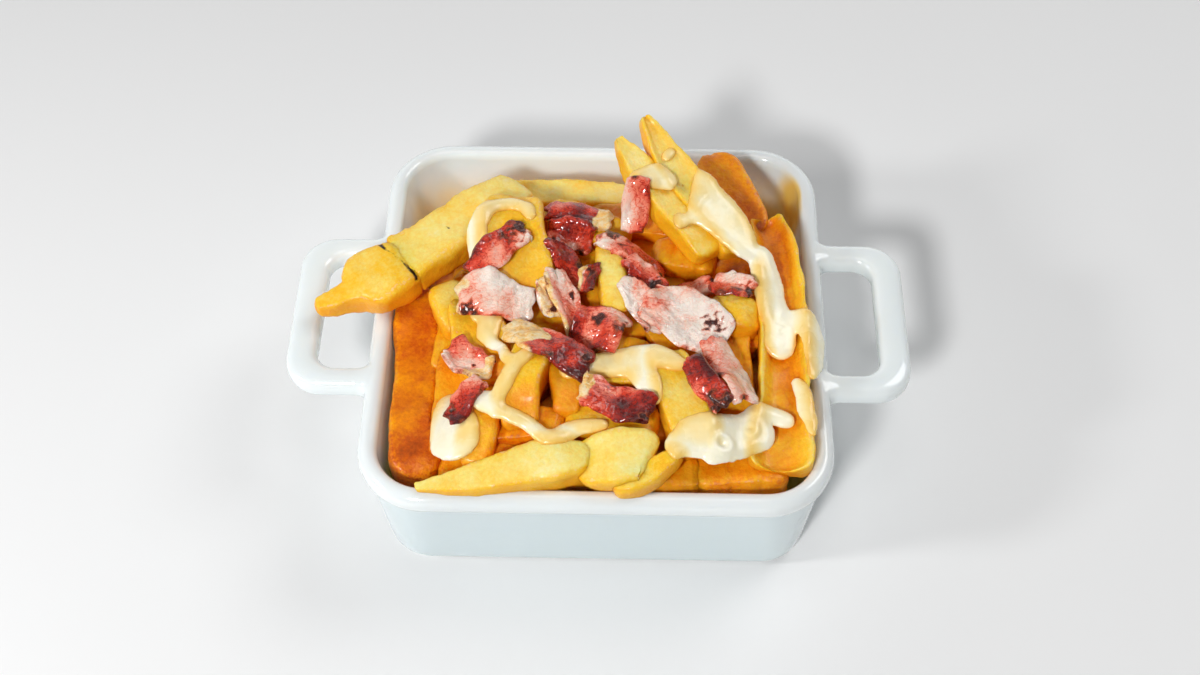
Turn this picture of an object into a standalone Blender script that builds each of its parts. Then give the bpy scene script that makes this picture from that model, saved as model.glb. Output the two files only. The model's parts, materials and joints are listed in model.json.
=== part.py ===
"""Cheese fries in a small square ceramic dish with two loop handles, under cheese sauce and bacon.

Blender 4.5 script, metres, +Z up. The origin is the middle of the dish's underside. The handles lie
along X and -Y is the side nearest the eater. The tables hold millimetres, which MM turns into metres.
"""

import math
from collections import namedtuple

import bmesh
import bpy
from mathutils import Matrix, Vector, noise
from mathutils.bvhtree import BVHTree

MM = 0.001
CLEAR = 0.35  # gap left between pieces that rest on each other
MERGE = 0.01  # points nearer than this are one point
SHARP_EDGE = 40.0  # edges that turn more degrees than this stay crisp under smooth shading

# The dish: half its outer side at the rim, its height, its rounded corners and its rolled rim.
DISH_HALF = 70.0
DISH_HEIGHT = 46.3
RIM_CORNER = 20.6
RIM_WIDTH = 5.6
BEAD_HEIGHT = 7.5
BEAD_STEP = 1.5
FOOT_HALF = 58.0
FOOT_CORNER = 10.0
HEEL_HALF = 64.4
HEEL_HEIGHT = 7.0
WELL_FLOOR_Z = 5.5
WELL_FLOOR_HALF = 54.5
WELL_WALL_Z = 11.0
CORNER_STEPS = 6

# The loop handles: how far they reach, their outline, and the bar they are made of.
HANDLE_REACH = 95.3
HANDLE_HALF_LENGTH = 29.0
HANDLE_ROOT = 66.6  # where it is cut off inside the dish's wall
HANDLE_CORNER = 11.0
HANDLE_OUTER_BAR = 9.3
HANDLE_END_BAR = 7.2
HANDLE_HOLE_CORNER = 6.5
HANDLE_CORNER_STEPS = 4
HANDLE_THICKNESS = 7.5
HANDLE_EDGE = 3.0
HANDLE_MIDDLE_Z = 41.7

# The heap's core: a low mound that stands on the dish's floor, under the fries that show.
CORE_FOOT = (53.5, 12.0)  # half its side, and its rounded corners
CORE_WAIST = (54.5, 16.0)
CORE_SHOULDER = (57.0, 24.0)
CORE_TOP = (40.0, 24.0)
CORE_WAIST_Z = 11.5
CORE_SHOULDER_Z = 26.0
CORE_TOP_Z = 42.0

# A fry is a bar from start to end. Width is across, height is its thickness, bow moves its middle,
# lean rolls it about its length, hollow sinks its upper face, taper scales its two ends.
Fry = namedtuple("Fry", "name start end width height bow lean hollow taper")
FRIES = [
    Fry("left_over_rim", (-28, 38, 52), (-71, 4, 54), 20, 11, (0, 0, 1), 0, 0.5, (0.8, 0.95)),
    Fry("left_tip", (-62, -1, 53), (-86, -4, 52), 11, 8, (0, -1, 0), 0, 0, (1.0, 0.35)),
    Fry("flat_under_ring", (-26, 31, 60), (-20, 3, 57), 19, 8, (0, 0, 1), 0, 0.8, (0.8, 0.45)),
    Fry("back_wall", (-26, 49, 39), (14, 47, 40), 14, 13, (0, 1, 0), 0, 0.5, (0.9, 0.9)),
    Fry("back_low", (-4, 37, 44), (32, 30, 46), 14, 12, (0, 0, 1), 0, 0, (0.9, 0.8)),
    Fry("forked", (45, 12, 57), (17, 44, 67), 19, 9, (0, 0, 1), 0, 4.0, (0.8, 0.9)),
    Fry("forked_long_prong", (20, 44, 67), (14, 57, 73), 8, 6, (0, 0, 0), 0, 0, (1.0, 0.3)),
    Fry("forked_short_prong", (12, 38, 65), (5, 49, 70), 6, 6, (0, 0, 0), 0, 0, (1.0, 0.4)),
    Fry("back_middle", (-18, 35, 49), (8, 22, 50), 13, 12, (0, 0, 1), 0, 0, (0.9, 0.9)),
    Fry("back_right", (37, 57, 49), (47, 28, 49), 17, 9, (0, 0, 0), 15, 0, (0.8, 0.9)),
    Fry("back_right_under", (18, 46, 38), (50, 40, 38), 15, 13, (0, 0, 0), 0, 0, (0.9, 0.8)),
    Fry("back_left_under", (-55, 23, 35), (-26, 43, 37), 15, 13, (0, 0, 0), 0, 0, (0.8, 0.9)),
    Fry("right_channel", (52, 27, 50), (56, -52, 44), 14, 14, (0, 0, 0), 0, 3.0, (0.85, 1.0)),
    Fry("right_short", (38, 3, 49), (47, -13, 50), 13, 12, (0, 0, 0), 0, 0, (0.9, 0.8)),
    Fry("right_inner", (40, 12, 45), (41, -48, 43), 13, 12, (0, 0, 1), 0, 0, (0.9, 0.9)),
    Fry("right_under", (14, 4, 48), (32, -36, 47), 14, 12, (0, 0, 1), 0, 0, (0.9, 0.9)),
    Fry("upright_yellow", (19, -16, 50), (27, -52, 51), 13, 13, (0, 0, 1), 0, 0, (0.9, 0.9)),
    Fry("front_long", (-50, -60, 46), (-3, -56, 50), 12, 8, (0, 1, 1), 0, 0.5, (0.3, 0.9)),
    Fry("front_low", (-46, -55, 37), (14, -55, 37), 13, 13, (0, 0, 0), 0, 0, (0.9, 0.9)),
    Fry("front_curl", (3, -51, 53), (9, -61, 46), 18, 9, (0, 0, 1), 0, 0, (0.9, 0.7)),
    Fry("front_hook", (9, -60, 48), (24, -56, 53), 10, 9, (0, -1, -1), 0, 0, (1.0, 0.4)),
    Fry("front_right_small", (14, -57, 40), (30, -56, 41), 12, 12, (0, 0, 0), 0, 0, (0.8, 0.8)),
    Fry("front_right_long", (28, -54, 39), (55, -52, 36), 14, 13, (0, 0, 0), 0, 0, (0.9, 0.9)),
    Fry("left_low", (-33, -38, 50), (-33, -57, 42), 11, 12, (0, 0, 0), 0, 0, (0.9, 0.9)),
    Fry("left_wall", (-54, 14, 36), (-53, -54, 35), 15, 14, (0, 0, 0), 0, 0.5, (0.9, 0.95)),
    Fry("left_chunk", (-46, 8, 47), (-42, -14, 49), 12, 12, (0, 0, 0), 0, 0, (0.8, 0.8)),
    Fry("left_broad", (-34, 2, 48), (-33, -36, 49), 17, 12, (0, 0, 1), 0, 1.0, (0.9, 0.9)),
    Fry("sauced_stub", (-20, -24, 54), (-29, -46, 50), 12, 12, (0, 0, 1), 0, 0, (0.7, 0.8)),
    Fry("middle_cross", (-33, -46, 46), (-9, -46, 48), 12, 12, (0, 0, 0), 0, 0, (0.8, 0.9)),
    Fry("middle_stub", (-9, -24, 50), (-7, -45, 48), 11, 12, (0, 0, 0), 0, 0, (0.8, 0.9)),
    Fry("middle_long", (-8, -42, 47), (18, -43, 48), 14, 12, (0, 0, 0), 0, 0, (0.9, 0.9)),
    Fry("centre_stub", (-2, -19, 49), (16, -21, 49), 12, 12, (0, 0, 0), 0, 0, (0.8, 0.8)),
    Fry("centre_ridge", (3, 14, 54), (5, -8, 53), 9, 12, (0, 0, 1), 0, 0, (0.7, 0.9)),
    Fry("centre_orange", (16, 20, 47), (36, 17, 47), 13, 12, (0, 0, 0), 0, 0, (0.9, 0.9)),
    Fry("centre_left_under", (-32, 24, 46), (-12, -12, 48), 14, 12, (0, 0, 0), 0, 0, (0.9, 0.9)),
    Fry("centre_under", (-14, 30, 45), (12, -14, 47), 14, 12, (0, 0, 1), 0, 0, (0.9, 0.9)),
]
FRY_RINGS = 6
FRY_CORNER_CUT = 0.30
FRY_END_SIZE = 0.78  # a blunt end's size against the full section next to it

# Bacon: where the middle of each piece lies, how high it is dropped from, its length and width, its
# turn about Z, its tilt along and roll across its length, its curl, and the seed of its ragged outline.
Rasher = namedtuple("Rasher", "middle length width turn tilt roll curl seed")
RASHERS = [
    Rasher((-7, 29, 58), 21, 9, -8, 0, -15, 2.0, 3),
    Rasher((-9, 21, 60), 15, 10, -15, 0, 10, 3.0, 4),
    Rasher((-10, 8, 60), 17, 8, -50, 5, 10, 2.5, 8),
    Rasher((-3, 3, 61), 10, 7, 75, 0, 0, 2.0, 9),
    Rasher((11, 28, 60), 13, 9, 80, 20, 0, 1.0, 6),
    Rasher((9, 13, 61), 22, 9, -25, 0, 15, 3.0, 7),
    Rasher((14, 4, 61), 15, 8, -40, 0, 10, 2.0, 16),
    Rasher((-31, 9, 63), 23, 11, 42, 8, 0, 1.5, 1),
    Rasher((-31, -6, 61), 24, 13, -8, 0, 10, 2.0, 2),
    Rasher((-15, -5, 60), 13, 7, -70, 0, 0, 2.0, 11),
    Rasher((-15, -24, 61), 31, 11, -31, 5, 5, 2.5, 13),
    Rasher((-9, -8, 61), 26, 9, -63, 0, 0, 2.5, 10),
    Rasher((0, -15, 62), 17, 14, -25, 0, 0, 4.0, 12),
    Rasher((13, -7, 61), 18, 10, -55, 0, 5, 2.0, 14),
    Rasher((29, 6, 60), 14, 8, 12, 0, 0, 2.0, 18),
    Rasher((41, 3, 59), 14, 11, -30, 0, 10, 2.5, 19),
    Rasher((26, -11, 63), 28, 19, -28, 6, 0, 2.5, 15),
    Rasher((32, -36, 59), 20, 9, -60, 0, 30, 1.5, 21),
    Rasher((39, -30, 60), 25, 10, -65, 0, -20, 2.0, 22),
    Rasher((6, -41, 57), 22, 12, -20, 0, -10, 2.0, 23),
    Rasher((-38, -28, 57), 16, 12, -35, 0, -10, 2.5, 24),
    Rasher((-38, -42, 55), 16, 8, 58, 0, 0, 1.5, 25),
]
RASHER_THICKNESS = 1.5
RASHER_CELLS = (6, 3)
END_RAGGED = 0.30  # how much the torn ends go in and out, against half the length
SIDE_RAGGED = 0.45
END_NARROWING = 0.18
DRAPE_SAG = 0.45  # share of the piece that would sink into the heap if it didn't bend
DRAPE_ROUNDS = 60
DRAPE_STIFFNESS = 0.25

# Cheese sauce: ribbons laid over the fries. Each has a width, a thickness, the points that it passes
# and the height that it never hangs below, which keeps the spill just clear of the rim.
Ribbon = namedtuple("Ribbon", "name width thickness points lowest", defaults=[40.0])
RIBBONS = [
    Ribbon("ring", 5, 3, [(-35, 11), (-38, 20), (-35, 27), (-29, 30), (-23, 27)]),
    Ribbon("forked_sheet", 15, 3, [(31, 29), (36, 22), (41, 14), (46, 9)]),
    Ribbon("channel_run", 10, 3, [(48, 18), (50, 10), (51, -3), (51, -18)]),
    Ribbon("forked_blob", 7, 3, [(12, 33), (17, 34), (21, 37)]),
    Ribbon("centre_band", 8, 3, [(-6, -30), (3, -30), (13, -26), (19, -26), (26, -29)]),
    Ribbon("centre_lobe", 7, 3, [(13, -29), (17, -38)]),
    Ribbon("front_blob", 12, 4, [(23, -56), (30, -55), (40, -55), (48, -52)]),
    Ribbon("left_blob", 11, 4, [(-44, -38), (-43, -47), (-41, -54)]),
    Ribbon("drizzle", 5, 3, [(-29, -36), (-31, -42), (-26, -49), (-17, -53), (-9, -52), (0, -49)]),
    Ribbon("drizzle_branch", 5, 3, [(-31, -42), (-25, -35), (-20, -28)]),
    Ribbon("left_trickle", 6, 3, [(-36, -8), (-32, -17), (-27, -24), (-22, -27)]),
    Ribbon("rim_spill", 8, 2.5, [(52, -14), (58, -16), (64, -20), (65, -26)], DISH_HEIGHT + CLEAR),
]
RIBBON_SIDES = 8
RIBBON_STEP = 3.0
RIBBON_END_WIDTH = 0.55
RIBBON_END_REACH = 0.3

COLLECTION_NAME = "cheese fries"


def clear_scene():
    for old in list(bpy.data.objects):
        bpy.data.objects.remove(old)


def material(name, colour, roughness, metallic=0.0):
    made = bpy.data.materials.new(name)
    made.use_nodes = True
    shader = made.node_tree.nodes["Principled BSDF"]
    shader.inputs["Base Color"].default_value = (*colour, 1.0)
    shader.inputs["Roughness"].default_value = roughness
    shader.inputs["Metallic"].default_value = metallic
    return made


def object_from(name, shape, collection, finish=None):
    """Turns a bmesh in millimetres into an object in metres."""
    bmesh.ops.scale(shape, vec=(MM, MM, MM), verts=shape.verts)
    mesh = bpy.data.meshes.new(name)
    shape.to_mesh(mesh)
    shape.free()
    made = bpy.data.objects.new(name, mesh)
    if finish:
        mesh.materials.append(finish)
    collection.objects.link(made)
    return made


def loft(rings):
    """A closed skin through rings that all have the same number of points."""
    shape = bmesh.new()
    loops = [[shape.verts.new(point) for point in ring] for ring in rings]
    count = len(loops[0])
    for lower, upper in zip(loops, loops[1:]):
        for i in range(count):
            j = (i + 1) % count
            shape.faces.new((lower[i], lower[j], upper[j], upper[i]))
    shape.faces.new(list(reversed(loops[0])))
    shape.faces.new(loops[-1])
    bmesh.ops.recalc_face_normals(shape, faces=shape.faces)
    return shape


def rounded_rectangle(half_x, half_y, corner, steps, centre=(0.0, 0.0)):
    """Points round a rectangle with arcs at its corners, anticlockwise from its +X side."""
    points = []
    for quarter, (sx, sy) in enumerate(((1, 1), (-1, 1), (-1, -1), (1, -1))):
        for step in range(steps + 1):
            angle = math.radians(90 * (quarter + step / steps))
            x = centre[0] + sx * (half_x - corner) + corner * math.cos(angle)
            y = centre[1] + sy * (half_y - corner) + corner * math.sin(angle)
            points.append((x, y))
    return points


def square_ring(half, corner, z):
    return [Vector((x, y, z)) for x, y in rounded_rectangle(half, half, corner, CORNER_STEPS)]


def apply_union(target, pieces, solver="EXACT"):
    """Joins every object of a collection to the target, then removes them."""
    modifier = target.modifiers.new("join", "BOOLEAN")
    modifier.operation = "UNION"
    modifier.operand_type = "COLLECTION"
    modifier.collection = pieces
    modifier.solver = solver
    graph = bpy.context.evaluated_depsgraph_get()
    joined = bpy.data.meshes.new_from_object(target.evaluated_get(graph))
    target.modifiers.remove(modifier)
    target.data = joined
    for piece in list(pieces.objects):
        bpy.data.objects.remove(piece)
    bpy.data.collections.remove(pieces)


def shade_smooth(target):
    """Smooth shading that keeps the edges crisp where the surface turns sharply."""
    for face in target.data.polygons:
        face.use_smooth = True
    target.data.set_sharp_from_angle(angle=math.radians(SHARP_EDGE))


def move_origin(target, middle):
    """Gives an object its location at its own middle, with its mesh left where it is in the world."""
    target.data.transform(Matrix.Translation(-Vector(middle) * MM))
    target.location = Vector(middle) * MM


def dish_rings():
    """The dish's section as rings: up the outside, over the rolled rim and down the inside."""
    bead_foot = DISH_HEIGHT - BEAD_HEIGHT
    inner_half = DISH_HALF - RIM_WIDTH
    inner_corner = RIM_CORNER - RIM_WIDTH
    outside = [
        (FOOT_HALF, FOOT_CORNER, 0.0),
        (FOOT_HALF + 3.2, FOOT_CORNER + 1.8, 0.9),
        (HEEL_HALF - 1.1, FOOT_CORNER + 3.0, 3.0),
        (HEEL_HALF, FOOT_CORNER + 4.0, HEEL_HEIGHT),
        (DISH_HALF - BEAD_STEP - 0.4, RIM_CORNER - 1.8, bead_foot),
    ]
    bead = [
        (DISH_HALF - 0.5, RIM_CORNER - 0.5, bead_foot + 1.3),
        (DISH_HALF, RIM_CORNER, bead_foot + 3.6),
        (DISH_HALF - 0.5, RIM_CORNER - 0.5, DISH_HEIGHT - 1.4),
        (DISH_HALF - 1.7, RIM_CORNER - 1.7, DISH_HEIGHT - 0.3),
        (DISH_HALF - 3.0, RIM_CORNER - 3.0, DISH_HEIGHT),
        (inner_half + 1.0, inner_corner + 1.0, DISH_HEIGHT - 0.3),
        (inner_half, inner_corner, DISH_HEIGHT - 1.5),
    ]
    inside = [
        (inner_half - 0.4, inner_corner - 0.3, DISH_HEIGHT - 5.0),
        (WELL_FLOOR_HALF + 4.4, FOOT_CORNER + 1.3, WELL_WALL_Z),
        (WELL_FLOOR_HALF + 3.0, FOOT_CORNER + 0.1, WELL_FLOOR_Z + 1.8),
        (WELL_FLOOR_HALF, FOOT_CORNER - 1.5, WELL_FLOOR_Z),
    ]
    return [square_ring(*ring) for ring in outside + bead + inside]


def handle_outlines():
    """The handle's outer edge, which runs on into the dish, and the edge of its finger gap."""
    gap_start = DISH_HALF - BEAD_STEP
    gap_end = HANDLE_REACH - HANDLE_OUTER_BAR
    root = HANDLE_ROOT - 2 * HANDLE_CORNER
    outer = rounded_rectangle(
        (HANDLE_REACH - root) / 2,
        HANDLE_HALF_LENGTH,
        HANDLE_CORNER,
        HANDLE_CORNER_STEPS,
        ((HANDLE_REACH + root) / 2, 0.0),
    )
    gap = rounded_rectangle(
        (gap_end - gap_start) / 2 + HANDLE_EDGE,
        HANDLE_HALF_LENGTH - HANDLE_END_BAR,
        HANDLE_HOLE_CORNER,
        HANDLE_CORNER_STEPS,
        ((gap_end + gap_start) / 2 - HANDLE_EDGE, 0.0),
    )
    return outer, gap


def handle_solid(side, collection):
    """One loop handle: a flat outline with a gap, thickened and rounded all round its edges."""
    curve = bpy.data.curves.new("handle outline", "CURVE")
    curve.dimensions = "2D"
    curve.fill_mode = "BOTH"
    curve.extrude = (HANDLE_THICKNESS / 2 - HANDLE_EDGE) * MM
    curve.bevel_depth = HANDLE_EDGE * MM
    curve.bevel_resolution = 2
    curve.offset = -HANDLE_EDGE * MM
    for points in handle_outlines():
        spline = curve.splines.new("POLY")
        spline.points.add(len(points) - 1)
        for point, (x, y) in zip(spline.points, points):
            point.co = (x * MM, y * MM, 0.0, 1.0)
        spline.use_cyclic_u = True
    outline = bpy.data.objects.new("handle outline", curve)
    collection.objects.link(outline)
    graph = bpy.context.evaluated_depsgraph_get()
    mesh = bpy.data.meshes.new_from_object(outline.evaluated_get(graph))
    bpy.data.objects.remove(outline)
    shape = bmesh.new()
    shape.from_mesh(mesh)
    bmesh.ops.remove_doubles(shape, verts=shape.verts, dist=MERGE * MM)
    turn = Matrix.Rotation(0.0 if side > 0 else math.pi, 4, "Z")
    lift = Matrix.Translation((0, 0, HANDLE_MIDDLE_Z * MM))
    bmesh.ops.transform(shape, matrix=lift @ turn, verts=shape.verts)
    trim_to_wall(shape, side)
    shape.to_mesh(mesh)
    shape.free()
    collection.objects.link(bpy.data.objects.new("handle", mesh))


def trim_to_wall(shape, side):
    """Cuts the handle off inside the dish's wall and closes the cut."""
    cut = bmesh.ops.bisect_plane(
        shape,
        geom=shape.verts[:] + shape.edges[:] + shape.faces[:],
        plane_co=(side * HANDLE_ROOT * MM, 0, 0),
        plane_no=(-side, 0, 0),
        clear_outer=True,
    )
    rim = [edge for edge in cut["geom_cut"] if isinstance(edge, bmesh.types.BMEdge)]
    bmesh.ops.holes_fill(shape, edges=rim)
    bmesh.ops.recalc_face_normals(shape, faces=shape.faces)


def make_dish(collection, finish):
    dish = object_from("dish", loft(dish_rings()), collection, finish)
    handles = bpy.data.collections.new("handles")
    bpy.context.scene.collection.children.link(handles)
    for side in (1, -1):
        handle_solid(side, handles)
    apply_union(dish, handles)
    return dish


def axis_point(fry, t):
    """A point of the fry's bent axis, from its start at 0 to its end at 1."""
    straight = Vector(fry.start).lerp(Vector(fry.end), t)
    return straight + Vector(fry.bow) * 4 * t * (1 - t)


def fry_section(fry, t):
    """The outline across a fry: a bar with its four long edges cut off and its upper face sunken."""
    swell = fry.taper[0] * (1 - t) + fry.taper[1] * t
    swell = swell + (1.0 - swell) * min(1.0, 5.0 * t * (1 - t))
    half_w = fry.width / 2 * swell
    half_h = fry.height / 2 * swell
    cut = FRY_CORNER_CUT * half_h
    sunk = fry.hollow * swell
    return [
        (half_w, -half_h + cut),
        (half_w, half_h - cut),
        (half_w - cut, half_h),
        (0.0, half_h - sunk),
        (-half_w + cut, half_h),
        (-half_w, half_h - cut),
        (-half_w, -half_h + cut),
        (-half_w + cut, -half_h),
        (half_w - cut, -half_h),
    ]


def fry_rings(fry):
    """Rings along a fry. The two end rings are smaller, so that the ends look blunt and rounded."""
    rings = []
    step = 0.25 / FRY_RINGS
    for index in range(FRY_RINGS):
        t = index / (FRY_RINGS - 1)
        along = (axis_point(fry, min(1, t + step)) - axis_point(fry, max(0, t - step))).normalized()
        across = along.cross(Vector((0, 0, 1))).normalized()
        over = across.cross(along).normalized()
        roll = Matrix.Rotation(math.radians(fry.lean), 3, along)
        across = roll @ across
        over = roll @ over
        shrink = FRY_END_SIZE if index in (0, FRY_RINGS - 1) else 1.0
        centre = axis_point(fry, t)
        rings.append([centre + (across * x + over * y) * shrink for x, y in fry_section(fry, t)])
    return rings


def core_rings():
    return [
        square_ring(*CORE_FOOT, WELL_FLOOR_Z + CLEAR),
        square_ring(*CORE_WAIST, CORE_WAIST_Z),
        square_ring(*CORE_SHOULDER, CORE_SHOULDER_Z),
        square_ring(*CORE_TOP, CORE_TOP_Z),
    ]


def surface_of(objects):
    """One search tree in millimetres over several objects' faces."""
    points = []
    faces = []
    for each in objects:
        first = len(points)
        points += [(each.matrix_world @ vertex.co) / MM for vertex in each.data.vertices]
        faces += [[first + i for i in face.vertices] for face in each.data.polygons]
    return BVHTree.FromPolygons(points, faces)


def height_at(surface, x, y):
    """The height of the highest point over x, y: a ray is sent down from well over the food."""
    hit = surface.ray_cast(Vector((x, y, 4 * DISH_HEIGHT)), Vector((0, 0, -1)))[0]
    return hit.z if hit else 0.0


def even_route(points, step):
    """Points every step along a smooth curve through the given ones."""
    route = []
    for index in range(len(points) - 1):
        before = Vector(points[max(index - 1, 0)])
        start = Vector(points[index])
        end = Vector(points[index + 1])
        after = Vector(points[min(index + 2, len(points) - 1)])
        count = max(1, round((end - start).length / step))
        for k in range(count):
            t = k / count
            bend = (2 * before - 5 * start + 4 * end - after) * t * t
            turn = (3 * start - before - 3 * end + after) * t ** 3
            route.append((2 * start + (end - before) * t + bend + turn) / 2)
    route.append(Vector(points[-1]))
    return route


def ribbon_rings(ribbon, fries):
    """A flattened tube that lies along the fries, round at its ends and no lower than it may hang."""
    route = even_route(ribbon.points, RIBBON_STEP)
    rings = []
    for index, spot in enumerate(route):
        ahead = route[min(index + 1, len(route) - 1)] - route[max(index - 1, 0)]
        along = Vector((ahead.x, ahead.y, 0)).normalized()
        across = Vector((-along.y, along.x, 0))
        at_end = index in (0, len(route) - 1)
        half = ribbon.width / 2 * (RIBBON_END_WIDTH if at_end else 1.0)
        reach = 0.0
        if at_end:
            reach = half * RIBBON_END_REACH * (1 if index else -1)
        ring = []
        for side in range(RIBBON_SIDES):
            angle = 2 * math.pi * side / RIBBON_SIDES
            out = Vector((spot.x, spot.y, 0)) + across * half * math.cos(angle) + along * reach
            middle = max(height_at(fries, out.x, out.y), ribbon.lowest + ribbon.thickness / 2)
            ring.append(Vector((out.x, out.y, middle + ribbon.thickness / 2 * math.sin(angle))))
        rings.append(ring)
    return rings


def keep_largest_body(target):
    """Drops loose scraps and the skins of sealed hollows, so that one closed body is left."""
    shape = bmesh.new()
    shape.from_mesh(target.data)
    bmesh.ops.triangulate(shape, faces=shape.faces)
    unseen = set(shape.faces)
    bodies = []
    while unseen:
        body = [unseen.pop()]
        for face in body:
            for edge in face.edges:
                if len(edge.link_faces) == 2:
                    fresh = [other for other in edge.link_faces if other in unseen]
                    unseen.difference_update(fresh)
                    body += fresh
        bodies.append(body)
    bodies.sort(key=len, reverse=True)
    loose = [face for body in bodies[1:] for face in body]
    bmesh.ops.delete(shape, geom=loose, context="FACES")
    shape.to_mesh(target.data)
    shape.free()


def make_heap(collection, finish):
    """The heap of fries with the sauce on it: a core with every fry that shows joined to it."""
    heap = object_from("fries", loft(core_rings()), collection, finish)
    pieces = bpy.data.collections.new("heap pieces")
    bpy.context.scene.collection.children.link(pieces)
    for fry in FRIES:
        object_from(fry.name, loft(fry_rings(fry)), pieces)
    bpy.context.view_layer.update()
    fries = surface_of([heap, *pieces.objects])
    for ribbon in RIBBONS:
        object_from(ribbon.name, loft(ribbon_rings(ribbon, fries)), pieces)
    apply_union(heap, pieces, "MANIFOLD")
    keep_largest_body(heap)
    return heap


def rasher_outline(rasher, u, v):
    """The place in the flat piece of grid point u, v (each -1 to 1), pulled in and out to look torn."""
    ragged = noise.noise(Vector((u * 1.7, v * 1.7, rasher.seed * 3.1)))
    frayed = noise.noise(Vector((v * 1.9, u * 1.9, rasher.seed * 5.3 + 9)))
    x = rasher.length / 2 * u * (1 + END_RAGGED * ragged * abs(u))
    y = rasher.width / 2 * v * (1 + SIDE_RAGGED * frayed * abs(v)) * (1 - END_NARROWING * u * u)
    return x, y


def rasher_rise(rasher, u, v):
    """How far the piece bends up and down at a grid point before it is laid on the heap."""
    cup = rasher.curl * (v * v - 0.35)
    wave = rasher.curl * 0.5 * math.sin(2.6 * u + rasher.seed)
    ripple = rasher.curl * 0.35 * noise.noise(Vector((u * 1.4, v * 1.4, rasher.seed * 7.7)))
    return cup * math.cos(rasher.seed * 1.3) + wave + ripple


def rasher_sheet(rasher):
    """The lower face of a piece of bacon as a grid of points, before it is laid on the heap."""
    columns, rows = RASHER_CELLS
    turn = Matrix.Rotation(math.radians(rasher.turn), 3, "Z")
    tilt = Matrix.Rotation(math.radians(-rasher.tilt), 3, "Y")
    roll = Matrix.Rotation(math.radians(rasher.roll), 3, "X")
    place = turn @ tilt @ roll
    sheet = []
    for i in range(columns + 1):
        row = []
        for j in range(rows + 1):
            u = 2 * i / columns - 1
            v = 2 * j / rows - 1
            x, y = rasher_outline(rasher, u, v)
            row.append(Vector(rasher.middle) + place @ Vector((x, y, rasher_rise(rasher, u, v))))
        sheet.append(row)
    return sheet


def lay_on(sheet, surface):
    """Sinks the sheet to the surface and bends it, until it rests there with a small gap everywhere."""
    sixths = [(i / 6, j / 6) for i in range(7) for j in range(7 - i)]
    samples = [(a, b, c, 1 - s - t, s, t) for a, b, c in sheet_triangles(sheet) for s, t in sixths]
    gaps = sorted(point_gap(sample, sheet, surface) for sample in samples)
    drop = gaps[int(DRAPE_SAG * len(gaps))]
    for row in sheet:
        for point in row:
            point.z -= drop
    for turn in range(DRAPE_ROUNDS):
        if turn < DRAPE_ROUNDS / 2:
            stiffen(sheet)
        for sample in samples:
            gap = point_gap(sample, sheet, surface)
            if gap < 0:
                lift_sample(sample, sheet, -gap)


def stiffen(sheet):
    """Pulls each point of the sheet towards the height that its neighbours have."""
    columns = len(sheet)
    rows = len(sheet[0])
    before = [[point.z for point in row] for row in sheet]
    for i in range(columns):
        for j in range(rows):
            around = [(i - 1, j), (i + 1, j), (i, j - 1), (i, j + 1)]
            near = [before[k][m] for k, m in around if 0 <= k < columns and 0 <= m < rows]
            sheet[i][j].z += DRAPE_STIFFNESS * (sum(near) / len(near) - before[i][j])


def sheet_triangles(sheet):
    """Grid places of the three corners of each triangle of the sheet."""
    for i in range(len(sheet) - 1):
        for j in range(len(sheet[0]) - 1):
            yield (i, j), (i + 1, j), (i + 1, j + 1)
            yield (i, j), (i + 1, j + 1), (i, j + 1)


def point_gap(sample, sheet, surface):
    """How far above its resting height a point inside a triangle of the sheet is."""
    a, b, c, wa, wb, wc = sample
    spot = sheet[a[0]][a[1]] * wa + sheet[b[0]][b[1]] * wb + sheet[c[0]][c[1]] * wc
    return spot.z - height_at(surface, spot.x, spot.y) - CLEAR


def lift_sample(sample, sheet, amount):
    a, b, c, wa, wb, wc = sample
    whole = wa * wa + wb * wb + wc * wc
    for (i, j), weight in ((a, wa), (b, wb), (c, wc)):
        sheet[i][j].z += amount * weight / whole


def rasher_solid(sheet):
    """A thin solid whose two faces are split into the same triangles."""
    shape = bmesh.new()
    lower = [[shape.verts.new(point) for point in row] for row in sheet]
    up = Vector((0, 0, RASHER_THICKNESS))
    upper = [[shape.verts.new(point + up) for point in row] for row in sheet]
    for a, b, c in sheet_triangles(sheet):
        shape.faces.new((lower[c[0]][c[1]], lower[b[0]][b[1]], lower[a[0]][a[1]]))
        shape.faces.new((upper[a[0]][a[1]], upper[b[0]][b[1]], upper[c[0]][c[1]]))
    columns = len(sheet) - 1
    rows = len(sheet[0]) - 1
    edge = [(i, 0) for i in range(columns)]
    edge += [(columns, j) for j in range(rows)]
    edge += [(i, rows) for i in range(columns, 0, -1)]
    edge += [(0, j) for j in range(rows, 0, -1)]
    for (i, j), (k, m) in zip(edge, edge[1:] + edge[:1]):
        shape.faces.new((lower[i][j], lower[k][m], upper[k][m], upper[i][j]))
    bmesh.ops.recalc_face_normals(shape, faces=shape.faces)
    return shape


def make_bacon(collection, finish, resting_on):
    """Each piece is laid on the heap and on the pieces that were laid before it."""
    laid = []
    for number, rasher in enumerate(RASHERS, 1):
        surface = surface_of(resting_on + laid)
        sheet = rasher_sheet(rasher)
        lay_on(sheet, surface)
        piece = object_from(f"bacon_{number:02d}", rasher_solid(sheet), collection, finish)
        laid.append(piece)
    return laid


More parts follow.
